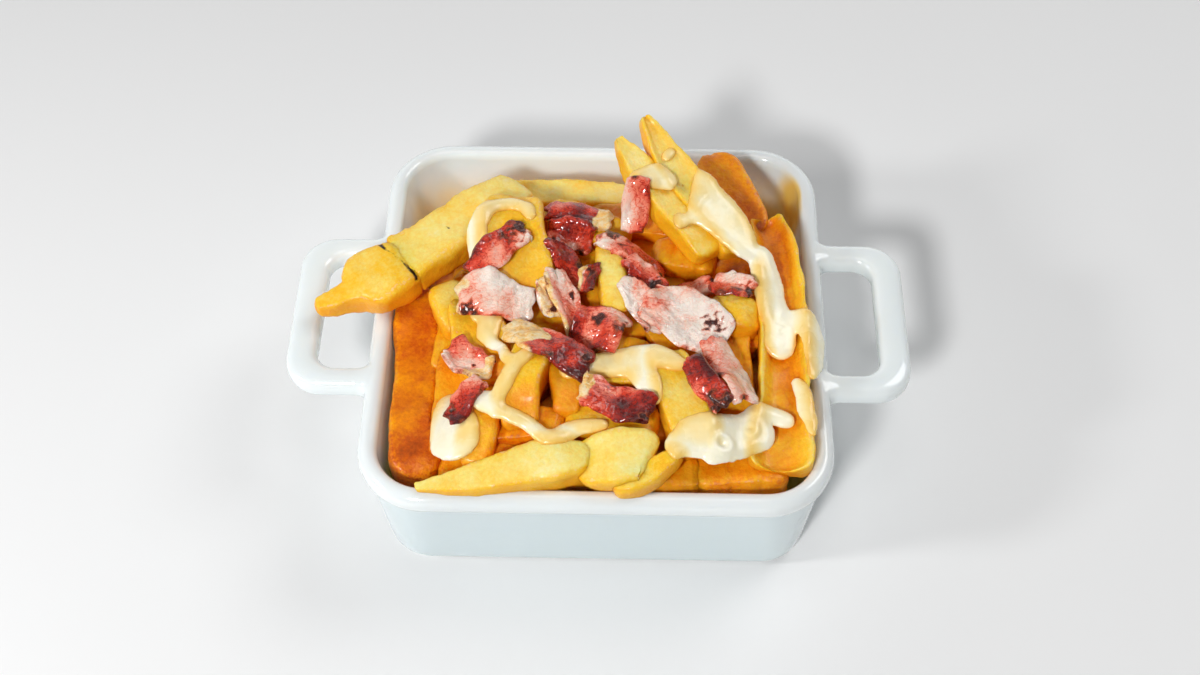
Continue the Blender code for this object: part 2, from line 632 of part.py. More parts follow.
def main():
    clear_scene()
    collection = bpy.data.collections.new(COLLECTION_NAME)
    bpy.context.scene.collection.children.link(collection)
    glaze = material("white glaze", (0.82, 0.84, 0.85), 0.12)
    potato = material("fried potato", (0.83, 0.52, 0.13), 0.45)
    cured = material("fried bacon", (0.55, 0.20, 0.16), 0.35)
    holder = bpy.data.objects.new("cheese_fries", None)
    collection.objects.link(holder)
    dish = make_dish(collection, glaze)
    heap = make_heap(collection, potato)
    bacon = make_bacon(collection, cured, [heap])
    for rasher, piece in zip(RASHERS, bacon):
        move_origin(piece, rasher.middle)
    for piece in [dish, heap] + bacon:
        shade_smooth(piece)
        piece.parent = holder


main()
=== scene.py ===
# %% [markdown]
# # Cheese fries in a square baking dish
# A small white dish with two loop handles holds a heap of thick-cut fries. Cheese sauce is poured over them
# and pieces of fried bacon lie on top. The packed model gives every piece its place and size. This script
# dresses it: each piece is made again, finer, where its solid is.

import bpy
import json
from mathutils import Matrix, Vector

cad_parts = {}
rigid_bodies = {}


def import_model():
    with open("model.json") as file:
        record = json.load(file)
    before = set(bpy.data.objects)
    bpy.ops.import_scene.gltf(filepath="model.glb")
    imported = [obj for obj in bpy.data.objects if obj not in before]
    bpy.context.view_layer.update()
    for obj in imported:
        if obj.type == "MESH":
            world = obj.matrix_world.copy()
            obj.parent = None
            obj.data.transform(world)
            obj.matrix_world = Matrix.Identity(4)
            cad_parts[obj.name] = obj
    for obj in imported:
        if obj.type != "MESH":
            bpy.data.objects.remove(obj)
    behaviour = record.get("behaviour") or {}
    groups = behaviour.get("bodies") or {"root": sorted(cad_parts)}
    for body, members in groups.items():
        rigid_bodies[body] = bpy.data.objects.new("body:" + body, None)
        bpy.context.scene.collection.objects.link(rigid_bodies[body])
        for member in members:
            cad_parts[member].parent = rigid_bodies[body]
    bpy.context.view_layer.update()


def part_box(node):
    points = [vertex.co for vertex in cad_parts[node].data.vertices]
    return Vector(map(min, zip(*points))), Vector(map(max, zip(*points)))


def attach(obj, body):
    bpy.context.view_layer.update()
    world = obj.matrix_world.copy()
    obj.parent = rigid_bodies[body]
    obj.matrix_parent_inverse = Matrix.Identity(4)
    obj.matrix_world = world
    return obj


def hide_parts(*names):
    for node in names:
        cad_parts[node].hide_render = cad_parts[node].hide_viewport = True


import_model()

# %% Modules and units
import json
import math
from collections import namedtuple

import bmesh
import bpy
import numpy as np
from mathutils import Matrix, Vector, noise
from mathutils.bvhtree import BVHTree

MM = 0.001
scene = bpy.context.scene

# %% [markdown]
# ## The camera
# A photograph's camera can be worked out from a thing of known shape. Here the square rim, the base and the
# handles of the dish gave the focal length, the direction and the distance. The camera looks down at about
# 54 degrees, from almost straight in front of the dish.

# %% Place the camera
FOCAL_PIXELS = 1655.2
PICTURE_WIDTH = 1200
SENSOR_WIDTH = 36.0
CAMERA_AZIMUTH = math.radians(1.377)
CAMERA_ELEVATION = math.radians(53.511)
CAMERA_ROLL = math.radians(-0.232)
CAMERA_DISTANCE = 0.5642
CAMERA_TARGET = Vector((-0.0003, 0.0236, 0.0))


def place_camera():
    backward = Vector((
        math.sin(CAMERA_AZIMUTH) * math.cos(CAMERA_ELEVATION),
        -math.cos(CAMERA_AZIMUTH) * math.cos(CAMERA_ELEVATION),
        math.sin(CAMERA_ELEVATION),
    ))
    level = Vector((0, 0, 1)).cross(backward).normalized()
    upward = backward.cross(level)
    right = level * math.cos(CAMERA_ROLL) + upward * math.sin(CAMERA_ROLL)
    above = upward * math.cos(CAMERA_ROLL) - level * math.sin(CAMERA_ROLL)
    camera = bpy.data.objects.new("camera", bpy.data.cameras.new("camera"))
    camera.data.sensor_width = SENSOR_WIDTH
    camera.data.lens = FOCAL_PIXELS / PICTURE_WIDTH * SENSOR_WIDTH
    camera.data.clip_start = 0.01
    turn = Matrix((right, above, backward)).transposed().to_4x4()
    camera.matrix_world = Matrix.Translation(CAMERA_TARGET + backward * CAMERA_DISTANCE) @ turn
    scene.collection.objects.link(camera)
    scene.camera = camera
    return camera


camera = place_camera()
camera_place = [round(value, 3) for value in camera.matrix_world.translation]
print("lens, mm:", round(camera.data.lens, 2), "camera at, m:", camera_place)

# %% [markdown]
# ## Words for node trees
# Both the shapes and the finishes are node trees. Adding nodes and links one at a time is long to read, so
# a formula is written with plain signs instead: a Formula holds one socket, and each sign on it adds the
# Math node of the same name.

# %% Add and feed a node in one line
def feed(tree, socket, value):
    """Links a socket to another one, or sets its value."""
    if isinstance(value, Formula):
        value = value.socket
    if isinstance(value, bpy.types.NodeSocket):
        tree.links.new(value, socket)
    elif socket.type == "VECTOR" and isinstance(value, (int, float)):
        socket.default_value = (value, value, value)
    elif socket.type == "RGBA" and len(value) == 3:
        socket.default_value = (*value, 1.0)
    else:
        socket.default_value = value


def add(tree, kind, settings=None, **inputs):
    """Adds a node with its settings, fills the inputs that are named, and returns its output as a Formula."""
    made = tree.nodes.new(kind)
    for name, value in (settings or {}).items():
        setattr(made, name, value)
    for name, value in inputs.items():
        wanted = name.replace("_", " ")
        found = [s for s in made.inputs if s.enabled and s.name.replace("-", " ") == wanted]
        feed(tree, found[0], value)
    return Formula(tree, [s for s in made.outputs if s.enabled][0])


def set_sockets(tree, shader, **values):
    """Feeds a shader's sockets by name. A plain value stays on the socket itself, with no node before it."""
    for name, value in values.items():
        feed(tree, shader.inputs[name.replace("_", " ")], value)


print("a node takes one line now")


# %% Formulas that write node trees
class Formula:
    """One socket of a node tree, which can be added, multiplied and so on as a number is."""

    def __init__(self, tree, socket):
        self.tree = tree
        self.socket = socket

    def join(self, operation, *others, output=0):
        both = (self, *others)
        vector = any(isinstance(each, Formula) and each.socket.type in ("VECTOR", "RGBA") for each in both)
        made = self.tree.nodes.new("ShaderNodeVectorMath" if vector else "ShaderNodeMath")
        made.operation = operation
        for socket, value in zip(made.inputs, both):
            feed(self.tree, socket, value)
        return Formula(self.tree, made.outputs[output])

    def __add__(self, other):
        return self.join("ADD", other)

    def __sub__(self, other):
        return self.join("SUBTRACT", other)

    def __rsub__(self, other):
        return (self * -1) + other

    def __mul__(self, other):
        return self.join("MULTIPLY", other)

    __radd__ = __add__
    __rmul__ = __mul__

    def __truediv__(self, other):
        return self.join("DIVIDE", other)

    def power(self, other):
        return self.join("POWER", other)

    def least(self, other):
        return self.join("MINIMUM", other)

    def most(self, other):
        return self.join("MAXIMUM", other)

    def size(self):
        return self.join("ABSOLUTE")

    def unit(self):
        return self.join("NORMALIZE")

    def length(self):
        return self.join("LENGTH", output="Value")

    def cross(self, other):
        return self.join("CROSS_PRODUCT", other)

    def part(self, axis):
        made = self.tree.nodes.new("ShaderNodeSeparateXYZ")
        feed(self.tree, made.inputs[0], self)
        return Formula(self.tree, made.outputs["XYZ".index(axis)])

    def smooth(self, low, high):
        """0 below low, 1 above high, and a soft step between them."""
        return add(self.tree, "ShaderNodeMapRange", settings={"interpolation_type": "SMOOTHSTEP"},
                   Value=self, From_Min=low, From_Max=high)

    def between(self, start, end):
        """The value this far on the way from start to end."""
        return (end - start) * self + start


print("words that a formula knows:", [name for name in vars(Formula) if not name.startswith("_")])


# %% Vectors and noise
def vector_of(tree, x, y, z):
    return add(tree, "ShaderNodeCombineXYZ", X=x, Y=y, Z=z)


def waves(tree, where, scale, detail=2.0, rough=0.5, seed=None):
    """Noise around 0.5. A seed moves on to another stretch of the same noise."""
    settings = {"noise_dimensions": "3D" if seed is None else "4D"}
    values = {"Vector": where, "Scale": scale, "Detail": detail, "Roughness": rough}
    if seed is not None:
        values["W"] = seed
    return add(tree, "ShaderNodeTexNoise", settings=settings, **values)


print("vector and noise words ready")

# %% [markdown]
# ## Running a Geometry Nodes tree
# A tree's input mesh carries one point for each thing to make, and the point's attributes hold that thing's
# sizes. The tree makes the things, and the result is taken off as a plain mesh, so nothing live is left on
# the piece.

# %% Build a tree
def new_tree(name, inputs):
    """A Geometry Nodes tree with a mesh input and named numbers. Returns it with its inputs as Formulas."""
    tree = bpy.data.node_groups.new(name, "GeometryNodeTree")
    tree.interface.new_socket("Mesh", in_out="INPUT", socket_type="NodeSocketGeometry")
    for title, default in inputs.items():
        kind = "NodeSocketInt" if isinstance(default, int) else "NodeSocketFloat"
        tree.interface.new_socket(title, in_out="INPUT", socket_type=kind).default_value = default
    tree.interface.new_socket("Mesh", in_out="OUTPUT", socket_type="NodeSocketGeometry")
    entry = tree.nodes.new("NodeGroupInput")
    return tree, {socket.name: Formula(tree, socket) for socket in entry.outputs if socket.name}


def end_tree(tree, mesh, finish):
    """Ends a tree as every tree here ends: nothing stays an instance, and the faces get their material."""
    real = add(tree, "GeometryNodeRealizeInstances", Geometry=mesh)
    soft = add(tree, "GeometryNodeSetShadeSmooth", Geometry=real)
    done = add(tree, "GeometryNodeSetMaterial", Geometry=soft, Material=finish)
    feed(tree, tree.nodes.new("NodeGroupOutput").inputs[0], done)


def attribute(tree, name, kind="FLOAT"):
    return add(tree, "GeometryNodeInputNamedAttribute", settings={"data_type": kind}, Name=name)


def store(tree, mesh, name, value, kind="FLOAT"):
    settings = {"data_type": kind, "domain": "POINT"}
    return add(tree, "GeometryNodeStoreNamedAttribute", settings, Geometry=mesh, Name=name, Value=value)


print("trees end in real geometry with a material")


# %% Run a tree, and store and read what a mesh holds
def new_piece(name, mesh):
    piece = bpy.data.objects.new(name, mesh)
    scene.collection.objects.link(piece)
    return piece


def put_attribute(mesh, name, values):
    """Stores one number, or one vector, for each point of a mesh."""
    values = np.asarray(values, np.float32)
    kind, field = ("FLOAT_VECTOR", "vector") if values.ndim == 2 else ("FLOAT", "value")
    mesh.attributes.new(name, kind, "POINT").data.foreach_set(field, values.ravel())


def grow(name, tree, mesh, **inputs):
    """Runs a tree on a mesh and returns what it makes as a plain mesh object."""
    piece = new_piece(name, mesh)
    modifier = piece.modifiers.new(tree.name, "NODES")
    modifier.node_group = tree
    for item in tree.interface.items_tree:
        if item.in_out == "INPUT" and item.name in inputs:
            modifier[item.identifier] = inputs[item.name]
    graph = bpy.context.evaluated_depsgraph_get()
    plain = bpy.data.meshes.new_from_object(piece.evaluated_get(graph))
    finish = plain.materials[-1]
    plain.materials.clear()
    plain.materials.append(finish)
    piece.modifiers.remove(modifier)
    piece.data = plain
    plain.name = name
    return piece


def points_of(mesh):
    flat = np.zeros(len(mesh.vertices) * 3, np.float32)
    mesh.vertices.foreach_get("co", flat)
    return flat.reshape(-1, 3).astype(float)


print("meshes so far:", sum(each.type == "MESH" for each in scene.objects), "all from the packed model")

# %% [markdown]
# ## Colours
# Colours were judged against the photograph in the numbers that a paint program shows, 0 to 255. Blender
# counts light itself, so each one goes through the curve that screens use.

# %% Screen colours to light
def screen(red, green, blue):
    """A screen colour, 0 to 255, as the amounts of light that Blender uses."""
    shares = [value / 255 for value in (red, green, blue)]
    return tuple(v / 12.92 if v <= 0.04045 else ((v + 0.055) / 1.055) ** 2.4 for v in shares)


def ramp(tree, value, stops):
    """A colour that runs through the given stops as value goes from 0 to 1."""
    made = tree.nodes.new("ShaderNodeValToRGB")
    band = made.color_ramp.elements
    while len(band) < len(stops):
        band.new(0.5)
    for element, (place, colour) in zip(band, stops):
        element.position = place
        element.color = (*screen(*colour), 1.0)
    feed(tree, made.inputs[0], value)
    return Formula(tree, made.outputs[0])


def mixed(tree, share, first, second):
    """The first colour where share is 0, the second where it is 1."""
    made = tree.nodes.new("ShaderNodeMix")
    made.data_type = "RGBA"
    for title, value in (("Factor", share), ("A", first), ("B", second)):
        socket = [s for s in made.inputs if s.enabled and s.name == title][0]
        feed(tree, socket, value)
    return Formula(tree, [s for s in made.outputs if s.enabled][0])


print("white on the floor:", [round(v, 3) for v in screen(238, 238, 238)])


# %% Words for finishes
def new_material(name):
    """An empty material with its Principled shader. Returns the material, its tree and the shader."""
    made = bpy.data.materials.new(name)
    made.use_nodes = True
    return made, made.node_tree, made.node_tree.nodes["Principled BSDF"]


def bumps(tree, height, reach, strength):
    """A normal that is tilted as if the surface rose by reach metres where height is 1."""
    return add(tree, "ShaderNodeBump", Height=height, Distance=reach, Strength=strength)


def shader_attribute(tree, name):
    made = tree.nodes.new("ShaderNodeAttribute")
    made.attribute_name = name
    return Formula(tree, made.outputs["Fac"])


def object_place(tree):
    return Formula(tree, tree.nodes.new("ShaderNodeTexCoord").outputs["Object"])


print("finish words ready")

# %% [markdown]
# ## One pattern for every finish
# Potato, sauce, bacon and glaze are all mottled: slow clouds a centimetre or so across, and a fine grain on
# top of them. A shader node group makes that pattern once. Each finish gets its own copy of the group and
# sets how big the clouds and the grain are.


# %% Build the mottle group
def mottle_group():
    group = bpy.data.node_groups.new("mottle", "ShaderNodeTree")
    group.interface.new_socket("Place", in_out="INPUT", socket_type="NodeSocketVector")
    for title, start in (("Cloud Scale", 95.0), ("Grain Scale", 620.0), ("Grain Detail", 3.0)):
        group.interface.new_socket(title, in_out="INPUT", socket_type="NodeSocketFloat").default_value = start
    for title in ("Clouds", "Grain"):
        group.interface.new_socket(title, in_out="OUTPUT", socket_type="NodeSocketFloat")
    entry = group.nodes.new("NodeGroupInput")
    given = {socket.name: Formula(group, socket) for socket in entry.outputs if socket.name}
    clouds = waves(group, given["Place"], given["Cloud Scale"], 3.0, 0.55)
    grain = waves(group, given["Place"], given["Grain Scale"], given["Grain Detail"], 0.65)
    set_sockets(group, group.nodes.new("NodeGroupOutput"), Clouds=clouds, Grain=grain)
    return group


mottle = mottle_group()


def mottled(tree, place, cloud_scale, grain_scale, grain_detail=3.0):
    """The clouds and the grain, each around 0 and from about -0.5 to 0.5."""
    made = tree.nodes.new("ShaderNodeGroup")
    made.node_tree = mottle
    set_sockets(tree, made, Place=place, Cloud_Scale=cloud_scale, Grain_Scale=grain_scale,
                Grain_Detail=grain_detail)
    return Formula(tree, made.outputs["Clouds"]) - 0.5, Formula(tree, made.outputs["Grain"]) - 0.5


print("mottle group nodes:", len(mottle.nodes))

# %% [markdown]
# ## The table and the light
# The photograph was lit mainly by one lamp in front and to the left: the shadows of the rim, of the handle
# and of the tallest fry all point back to one place. A small lamp further to the left, a broad window on
# the right and the bright wall behind fill them. The lamps are discs, so the shadows have soft edges.

# %% Lay the table
TABLE_HALF = 3.0
TABLE_WHITE = (236, 236, 236)


def make_table():
    corners = [(-TABLE_HALF, -TABLE_HALF, 0), (TABLE_HALF, -TABLE_HALF, 0)]
    corners += [(TABLE_HALF, TABLE_HALF, 0), (-TABLE_HALF, TABLE_HALF, 0)]
    mesh = bpy.data.meshes.new("table")
    mesh.from_pydata(corners, [], [(0, 1, 2, 3)])
    finish, tree, shader = new_material("pale table")
    shade = waves(tree, object_place(tree), 5.0, 3.0)
    lighter = [value + 3 for value in TABLE_WHITE]
    set_sockets(tree, shader, Base_Color=mixed(tree, shade, screen(*TABLE_WHITE), screen(*lighter)),
                Roughness=0.7)
    mesh.materials.append(finish)
    return new_piece("table", mesh)


table = make_table()
print("table, metres across:", round(table.dimensions.x, 2))

# %% Set the lamps and the bright room
Lamp = namedtuple("Lamp", "name place size watts")  # place and size in metres
LAMPS = [
    Lamp("key lamp", (-0.374, -0.946, 0.892), 0.20, 10.8),
    Lamp("side lamp", (-0.62, -0.22, 0.42), 0.12, 1.9),
    Lamp("window", (0.52, 0.28, 0.78), 0.50, 2.6),
    Lamp("ceiling lamp", (0.0, 0.0, 1.0), 0.40, 0.6),
]
FAR_WALL_STRENGTH = 1.3
FOOD_MIDDLE = (0.0, 0.0, 0.045)


def disc_lamp(given):
    lamp = bpy.data.objects.new(given.name, bpy.data.lights.new(given.name, "AREA"))
    lamp.data.shape = "DISK"
    lamp.data.size = given.size
    lamp.data.energy = given.watts
    away = Vector(given.place) - Vector(FOOD_MIDDLE)
    lamp.matrix_world = Matrix.Translation(given.place) @ away.to_track_quat("Z", "Y").to_matrix().to_4x4()
    scene.collection.objects.link(lamp)


def bright_room(far_wall):
    """A dark room whose wall behind the dish is bright."""
    room = bpy.data.worlds.new("bright room")
    room.use_nodes = True
    tree = room.node_tree
    toward = Formula(tree, tree.nodes.new("ShaderNodeTexCoord").outputs["Generated"])
    high = toward.part("Z").smooth(0.35, 0.8)
    wall = (1 - high) * toward.part("Y").most(0.0)
    set_sockets(tree, tree.nodes["Background"], Color=(0.99, 0.995, 1.0), Strength=wall * far_wall)
    scene.world = room


for given in LAMPS:
    disc_lamp(given)
bright_room(FAR_WALL_STRENGTH)
scene.view_settings.view_transform = "Standard"
print("lamps:", [lamp.name for lamp in scene.objects if lamp.type == "LIGHT"])

# %% [markdown]
# ## The dish
# The dish is slip-cast stoneware under a thick white glaze, which rounds every edge. It is square with
# rounded corners, and its wall leans out a little to a rolled rim. A loft suits it: the same rounded square
# at many heights, with its size read from one smooth section.


# %% Curves through a few points
def smooth_path(points, steps):
    """Points on a smooth curve through the given ones, steps of them between each pair."""
    points = [np.asarray(point, float) for point in points]
    path = []
    for index in range(len(points) - 1):
        before = points[max(index - 1, 0)]
        start, end = points[index], points[index + 1]
        after = points[min(index + 2, len(points) - 1)]
        for k in range(steps):
            t = k / steps
            bend = (2 * before - 5 * start + 4 * end - after) * t * t
            turn = (3 * start - before - 3 * end + after) * t ** 3
            path.append((2 * start + (end - before) * t + bend + turn) / 2)
    path.append(points[-1])
    return path


print("points on a test curve:", len(smooth_path([(0, 0), (1, 0), (1, 1)], 4)))


# %% A closed skin over rings
def loft(rings, name):
    """A closed skin over rings that all have the same number of points, in millimetres."""
    shape = bmesh.new()
    loops = [[shape.verts.new(Vector(point) * MM) for point in ring] for ring in rings]
    count = len(loops[0])
    for lower, upper in zip(loops, loops[1:]):
        for i in range(count):
            j = (i + 1) % count
            shape.faces.new((lower[i], lower[j], upper[j], upper[i]))
    shape.faces.new(list(reversed(loops[0])))
    shape.faces.new(loops[-1])
    bmesh.ops.recalc_face_normals(shape, faces=shape.faces)
    mesh = bpy.data.meshes.new(name)
    shape.to_mesh(mesh)
    shape.free()
    return mesh


dish_low, dish_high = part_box("dish")
print("the packed dish, mm:", [round((high - low) / MM, 1) for low, high in zip(dish_low, dish_high)])

# %% The dish's section and rings
DISH_HALF = dish_high[1] / MM
DISH_HEIGHT = dish_high[2] / MM
HANDLE_REACH = dish_high[0] / MM
RIM_CORNER = 20.6
RIM_WIDTH = 5.6
BEAD_HEIGHT = 7.5
FOOT_HALF = 58.0
HEEL_HALF = 64.4
WELL_FLOOR = 5.5
SECTION_STEPS = 4
SIDE_STEPS = 50
CORNER_STEPS = 14


def dish_section():
    """Half the side, the corner's radius and the height, up the outside and down the inside."""
    bead = DISH_HEIGHT - BEAD_HEIGHT
    inner = DISH_HALF - RIM_WIDTH
    corner = RIM_CORNER - RIM_WIDTH
    outside = [(FOOT_HALF - 1.5, 9, 0.5), (FOOT_HALF, 10, 0.02), (FOOT_HALF + 3.2, 11.8, 0.9)]
    outside += [(HEEL_HALF - 1.1, 13, 3), (HEEL_HALF, 14, 7), (HEEL_HALF + 2, 16.5, 24)]
    outside += [(DISH_HALF - 2.1, 18.6, bead - 1.2), (DISH_HALF - 1.7, 19, bead + 0.2)]
    rolled = [(DISH_HALF - 0.5, RIM_CORNER - 0.5, bead + 1.3), (DISH_HALF, RIM_CORNER, bead + 3.4)]
    rolled += [(DISH_HALF - 0.5, RIM_CORNER - 0.5, DISH_HEIGHT - 1.4), (DISH_HALF - 2.6, 18, DISH_HEIGHT)]
    rolled += [(inner + 1, corner + 1, DISH_HEIGHT - 0.4), (inner, corner, DISH_HEIGHT - 1.9)]
    inside = [(inner - 0.5, corner - 0.3, DISH_HEIGHT - 5), (inner - 3, corner - 2, 26)]
    inside += [(inner - 5.5, 11.3, 11), (inner - 6.9, 10.1, 7.3), (inner - 9.9, 8.5, WELL_FLOOR)]
    return smooth_path(outside + rolled + inside, SECTION_STEPS)


def square_ring(half, corner, height):
    """A rounded square, with enough points on its straight sides for a fine mesh."""
    flat = half - corner
    points = []
    for quarter in range(4):
        turn = math.radians(90 * quarter)
        across, up = Vector((math.cos(turn), math.sin(turn))), Vector((-math.sin(turn), math.cos(turn)))
        for k in range(SIDE_STEPS):
            points.append(across * half + up * flat * (2 * k / SIDE_STEPS - 1))
        for k in range(CORNER_STEPS):
            angle = math.radians(90 * k / CORNER_STEPS)
            centre = (across + up) * flat
            points.append(centre + (across * math.cos(angle) + up * math.sin(angle)) * corner)
    return [(point.x, point.y, height) for point in points]


dish_skin = loft([square_ring(*ring) for ring in dish_section()], "dish skin")
print("dish faces:", len(dish_skin.polygons))

# %% [markdown]
# ## The handles
# Each handle is a flat loop cast with the dish, and it widens where it flows into the wall. It is lofted too:
# a squarish ring is carried round the loop, between its outer and its inner edge. A Boolean union joins the
# handles to the dish, as one casting, and the corner between them is smoothed, where glaze gathers.

# %% The handles' edges
HANDLE_ROOT = 66.6
HANDLE_HALF_LENGTH = 29.0
HANDLE_CORNER = 11.0
HANDLE_OUTER_BAR = 9.3
HANDLE_END_BAR = 7.2
HANDLE_HOLE_CORNER = 6.5
HANDLE_THICKNESS = 7.5
HANDLE_MIDDLE = 41.7
HANDLE_SQUARENESS = 0.62  # 1 would be an oval bar, 0 a square one
FLARE = 5.0  # over this much of its length the handle widens into the wall
WALL_AT_HANDLE = 68.6
BAR_STEPS = 12
BEND_STEPS = 14
END_BAR_STEPS = 6


def handle_edges():
    """Pairs of points on the outer and inner edge of the loop, from one root round to the other."""
    pairs = []
    for k in range(BAR_STEPS + 1):
        x = HANDLE_ROOT + (HANDLE_REACH - HANDLE_OUTER_BAR - HANDLE_HOLE_CORNER - HANDLE_ROOT) * k / BAR_STEPS
        near = max(0.0, min(1.0, (WALL_AT_HANDLE + FLARE - x) / FLARE))
        flare = FLARE * (1 - math.sqrt(1 - near ** 2)) * 0.8
        outer = (x, HANDLE_HALF_LENGTH + flare)
        pairs.append((outer, (x, HANDLE_HALF_LENGTH - HANDLE_END_BAR - flare), near))
    outer_x, outer_y = HANDLE_REACH - HANDLE_CORNER, HANDLE_HALF_LENGTH - HANDLE_CORNER
    inner_x = HANDLE_REACH - HANDLE_OUTER_BAR - HANDLE_HOLE_CORNER
    inner_y = HANDLE_HALF_LENGTH - HANDLE_END_BAR - HANDLE_HOLE_CORNER
    for k in range(1, BEND_STEPS + 1):
        angle = math.radians(90 - 90 * k / BEND_STEPS)
        away = np.array((math.cos(angle), math.sin(angle)))
        outer = away * HANDLE_CORNER + (outer_x, outer_y)
        pairs.append((outer, away * HANDLE_HOLE_CORNER + (inner_x, inner_y), 0))
    for k in range(1, END_BAR_STEPS + 1):
        share = 1 - k / END_BAR_STEPS
        pairs.append(((HANDLE_REACH, outer_y * share), (HANDLE_REACH - HANDLE_OUTER_BAR, inner_y * share), 0))
    back = [((o[0], -o[1]), (i[0], -i[1]), near) for o, i, near in reversed(pairs[:-1])]
    return pairs + back


print("rings along a handle:", len(handle_edges()))


# %% Loft the handles and join them to the dish
def squared(share):
    """Moves a sine or a cosine outwards, which turns a round section into a squarish one."""
    return math.copysign(abs(share) ** HANDLE_SQUARENESS, share)


def handle_rings(side):
    rings = []
    for outer, inner, near in handle_edges():
        outer, inner = np.array(outer), np.array(inner)
        middle, reach = (outer + inner) / 2, (outer - inner) / 2
        thick = HANDLE_THICKNESS / 2 + 1.2 * near ** 2
        ring = []
        for degrees in range(0, 360, 15):
            angle = math.radians(degrees)
            x, y = middle + reach * squared(math.cos(angle))
            z = HANDLE_MIDDLE - 0.5 * near ** 2 + thick * squared(math.sin(angle))
            ring.append((side * x, side * y, z))
        rings.append(ring)
    return rings


def join_handles(dish):
    """Joins both handles to the dish with one Boolean union."""
    handles = bpy.data.collections.new("handles")
    scene.collection.children.link(handles)
    for side in (1, -1):
        handles.objects.link(bpy.data.objects.new("handle", loft(handle_rings(side), "handle")))
    modifier = dish.modifiers.new("join", "BOOLEAN")
    modifier.operation = "UNION"
    modifier.operand_type = "COLLECTION"
    modifier.collection = handles
    joined = bpy.data.meshes.new_from_object(dish.evaluated_get(bpy.context.evaluated_depsgraph_get()))
    dish.modifiers.remove(modifier)
    dish.data = joined
    for handle in list(handles.objects):
        bpy.data.objects.remove(handle)
    bpy.data.collections.remove(handles)


SEAM_X = (67.4, 71.5)  # the corners between the handles and the wall lie between these, in millimetres
SEAM_Y = HANDLE_HALF_LENGTH + FLARE + 2
SEAM_Z = (34, DISH_HEIGHT - 1.0)
GLAZE_ROUNDS = 5


def flow_glaze(dish):
    """Smooths the corner between each handle and the wall, where glaze gathers."""
    shape = bmesh.new()
    shape.from_mesh(dish.data)
    seam = []
    for vertex in shape.verts:
        x, y, z = (value / MM for value in vertex.co)
        if SEAM_X[0] < abs(x) < SEAM_X[1] and abs(y) < SEAM_Y and SEAM_Z[0] < z < SEAM_Z[1]:
            seam.append(vertex)
    every_way = {"use_axis_x": True, "use_axis_y": True, "use_axis_z": True}
    for _ in range(GLAZE_ROUNDS):
        bmesh.ops.smooth_vert(shape, verts=seam, factor=0.5, **every_way)
    for face in shape.faces:
        face.smooth = True
    shape.to_mesh(dish.data)
    shape.free()


glazed_dish = new_piece("glazed_dish", dish_skin)
join_handles(glazed_dish)
flow_glaze(glazed_dish)
glazed_dish.data.name = "glazed_dish"
print("dish with handles, faces:", len(glazed_dish.data.polygons))

# %% [markdown]
# ## The glaze
# The glaze is thick and glossy and neutral on the rim, and its outer wall is painted a little darker and bluer,
# as shade. Inside, it is painted cooler against the orange light that the fries bounce onto it, and over the
# food a film of oil and painted golden bounce light turn it golden. In one place the inner right wall has a
# bright yellow patch. The zones follow the dish's own shape, so formulas over height and distance from the
# middle paint them, and nothing is unwrapped.

# %% The glaze
GLAZE_WHITE = (236, 243, 243)
GLAZE_SHADE = (232, 240, 241)
GLAZE_OUTER_SHADE = (216, 230, 233)  # painted shade: darker and bluer on the outer wall
# painted: the inside is cooled against the orange light that the fries bounce onto it
GLAZE_INSIDE_COOLED = (232, 251, 252)
OIL_AND_BOUNCE_GLAZE = (254, 220, 150)  # the wall just over the food: a film of oil, and painted golden light bounced from the fries
YELLOW_PATCH = (255, 206, 44)  # a bright yellow patch on the inside of the right wall
YELLOW_PATCH_PLACE = (0.0635, 0.0500, 0.0385)
FLAT_HALF = 0.049  # where the rounded corners start
# each zone's soft edge, from and to, in metres: heights, then distances from the middle
UNDER_RIM = (0.036, 0.041)
OVER_FOOD = (0.026, 0.043)
OVER_FLOOR = (0.004, 0.005)
HANDLES = (0.0705, 0.0715)
OUTER_WALL = (0.0622, 0.0632)
INNER_WALL = (0.0606, 0.0616)
WALL_LEAN = 0.09  # how far the wall leans out for its height


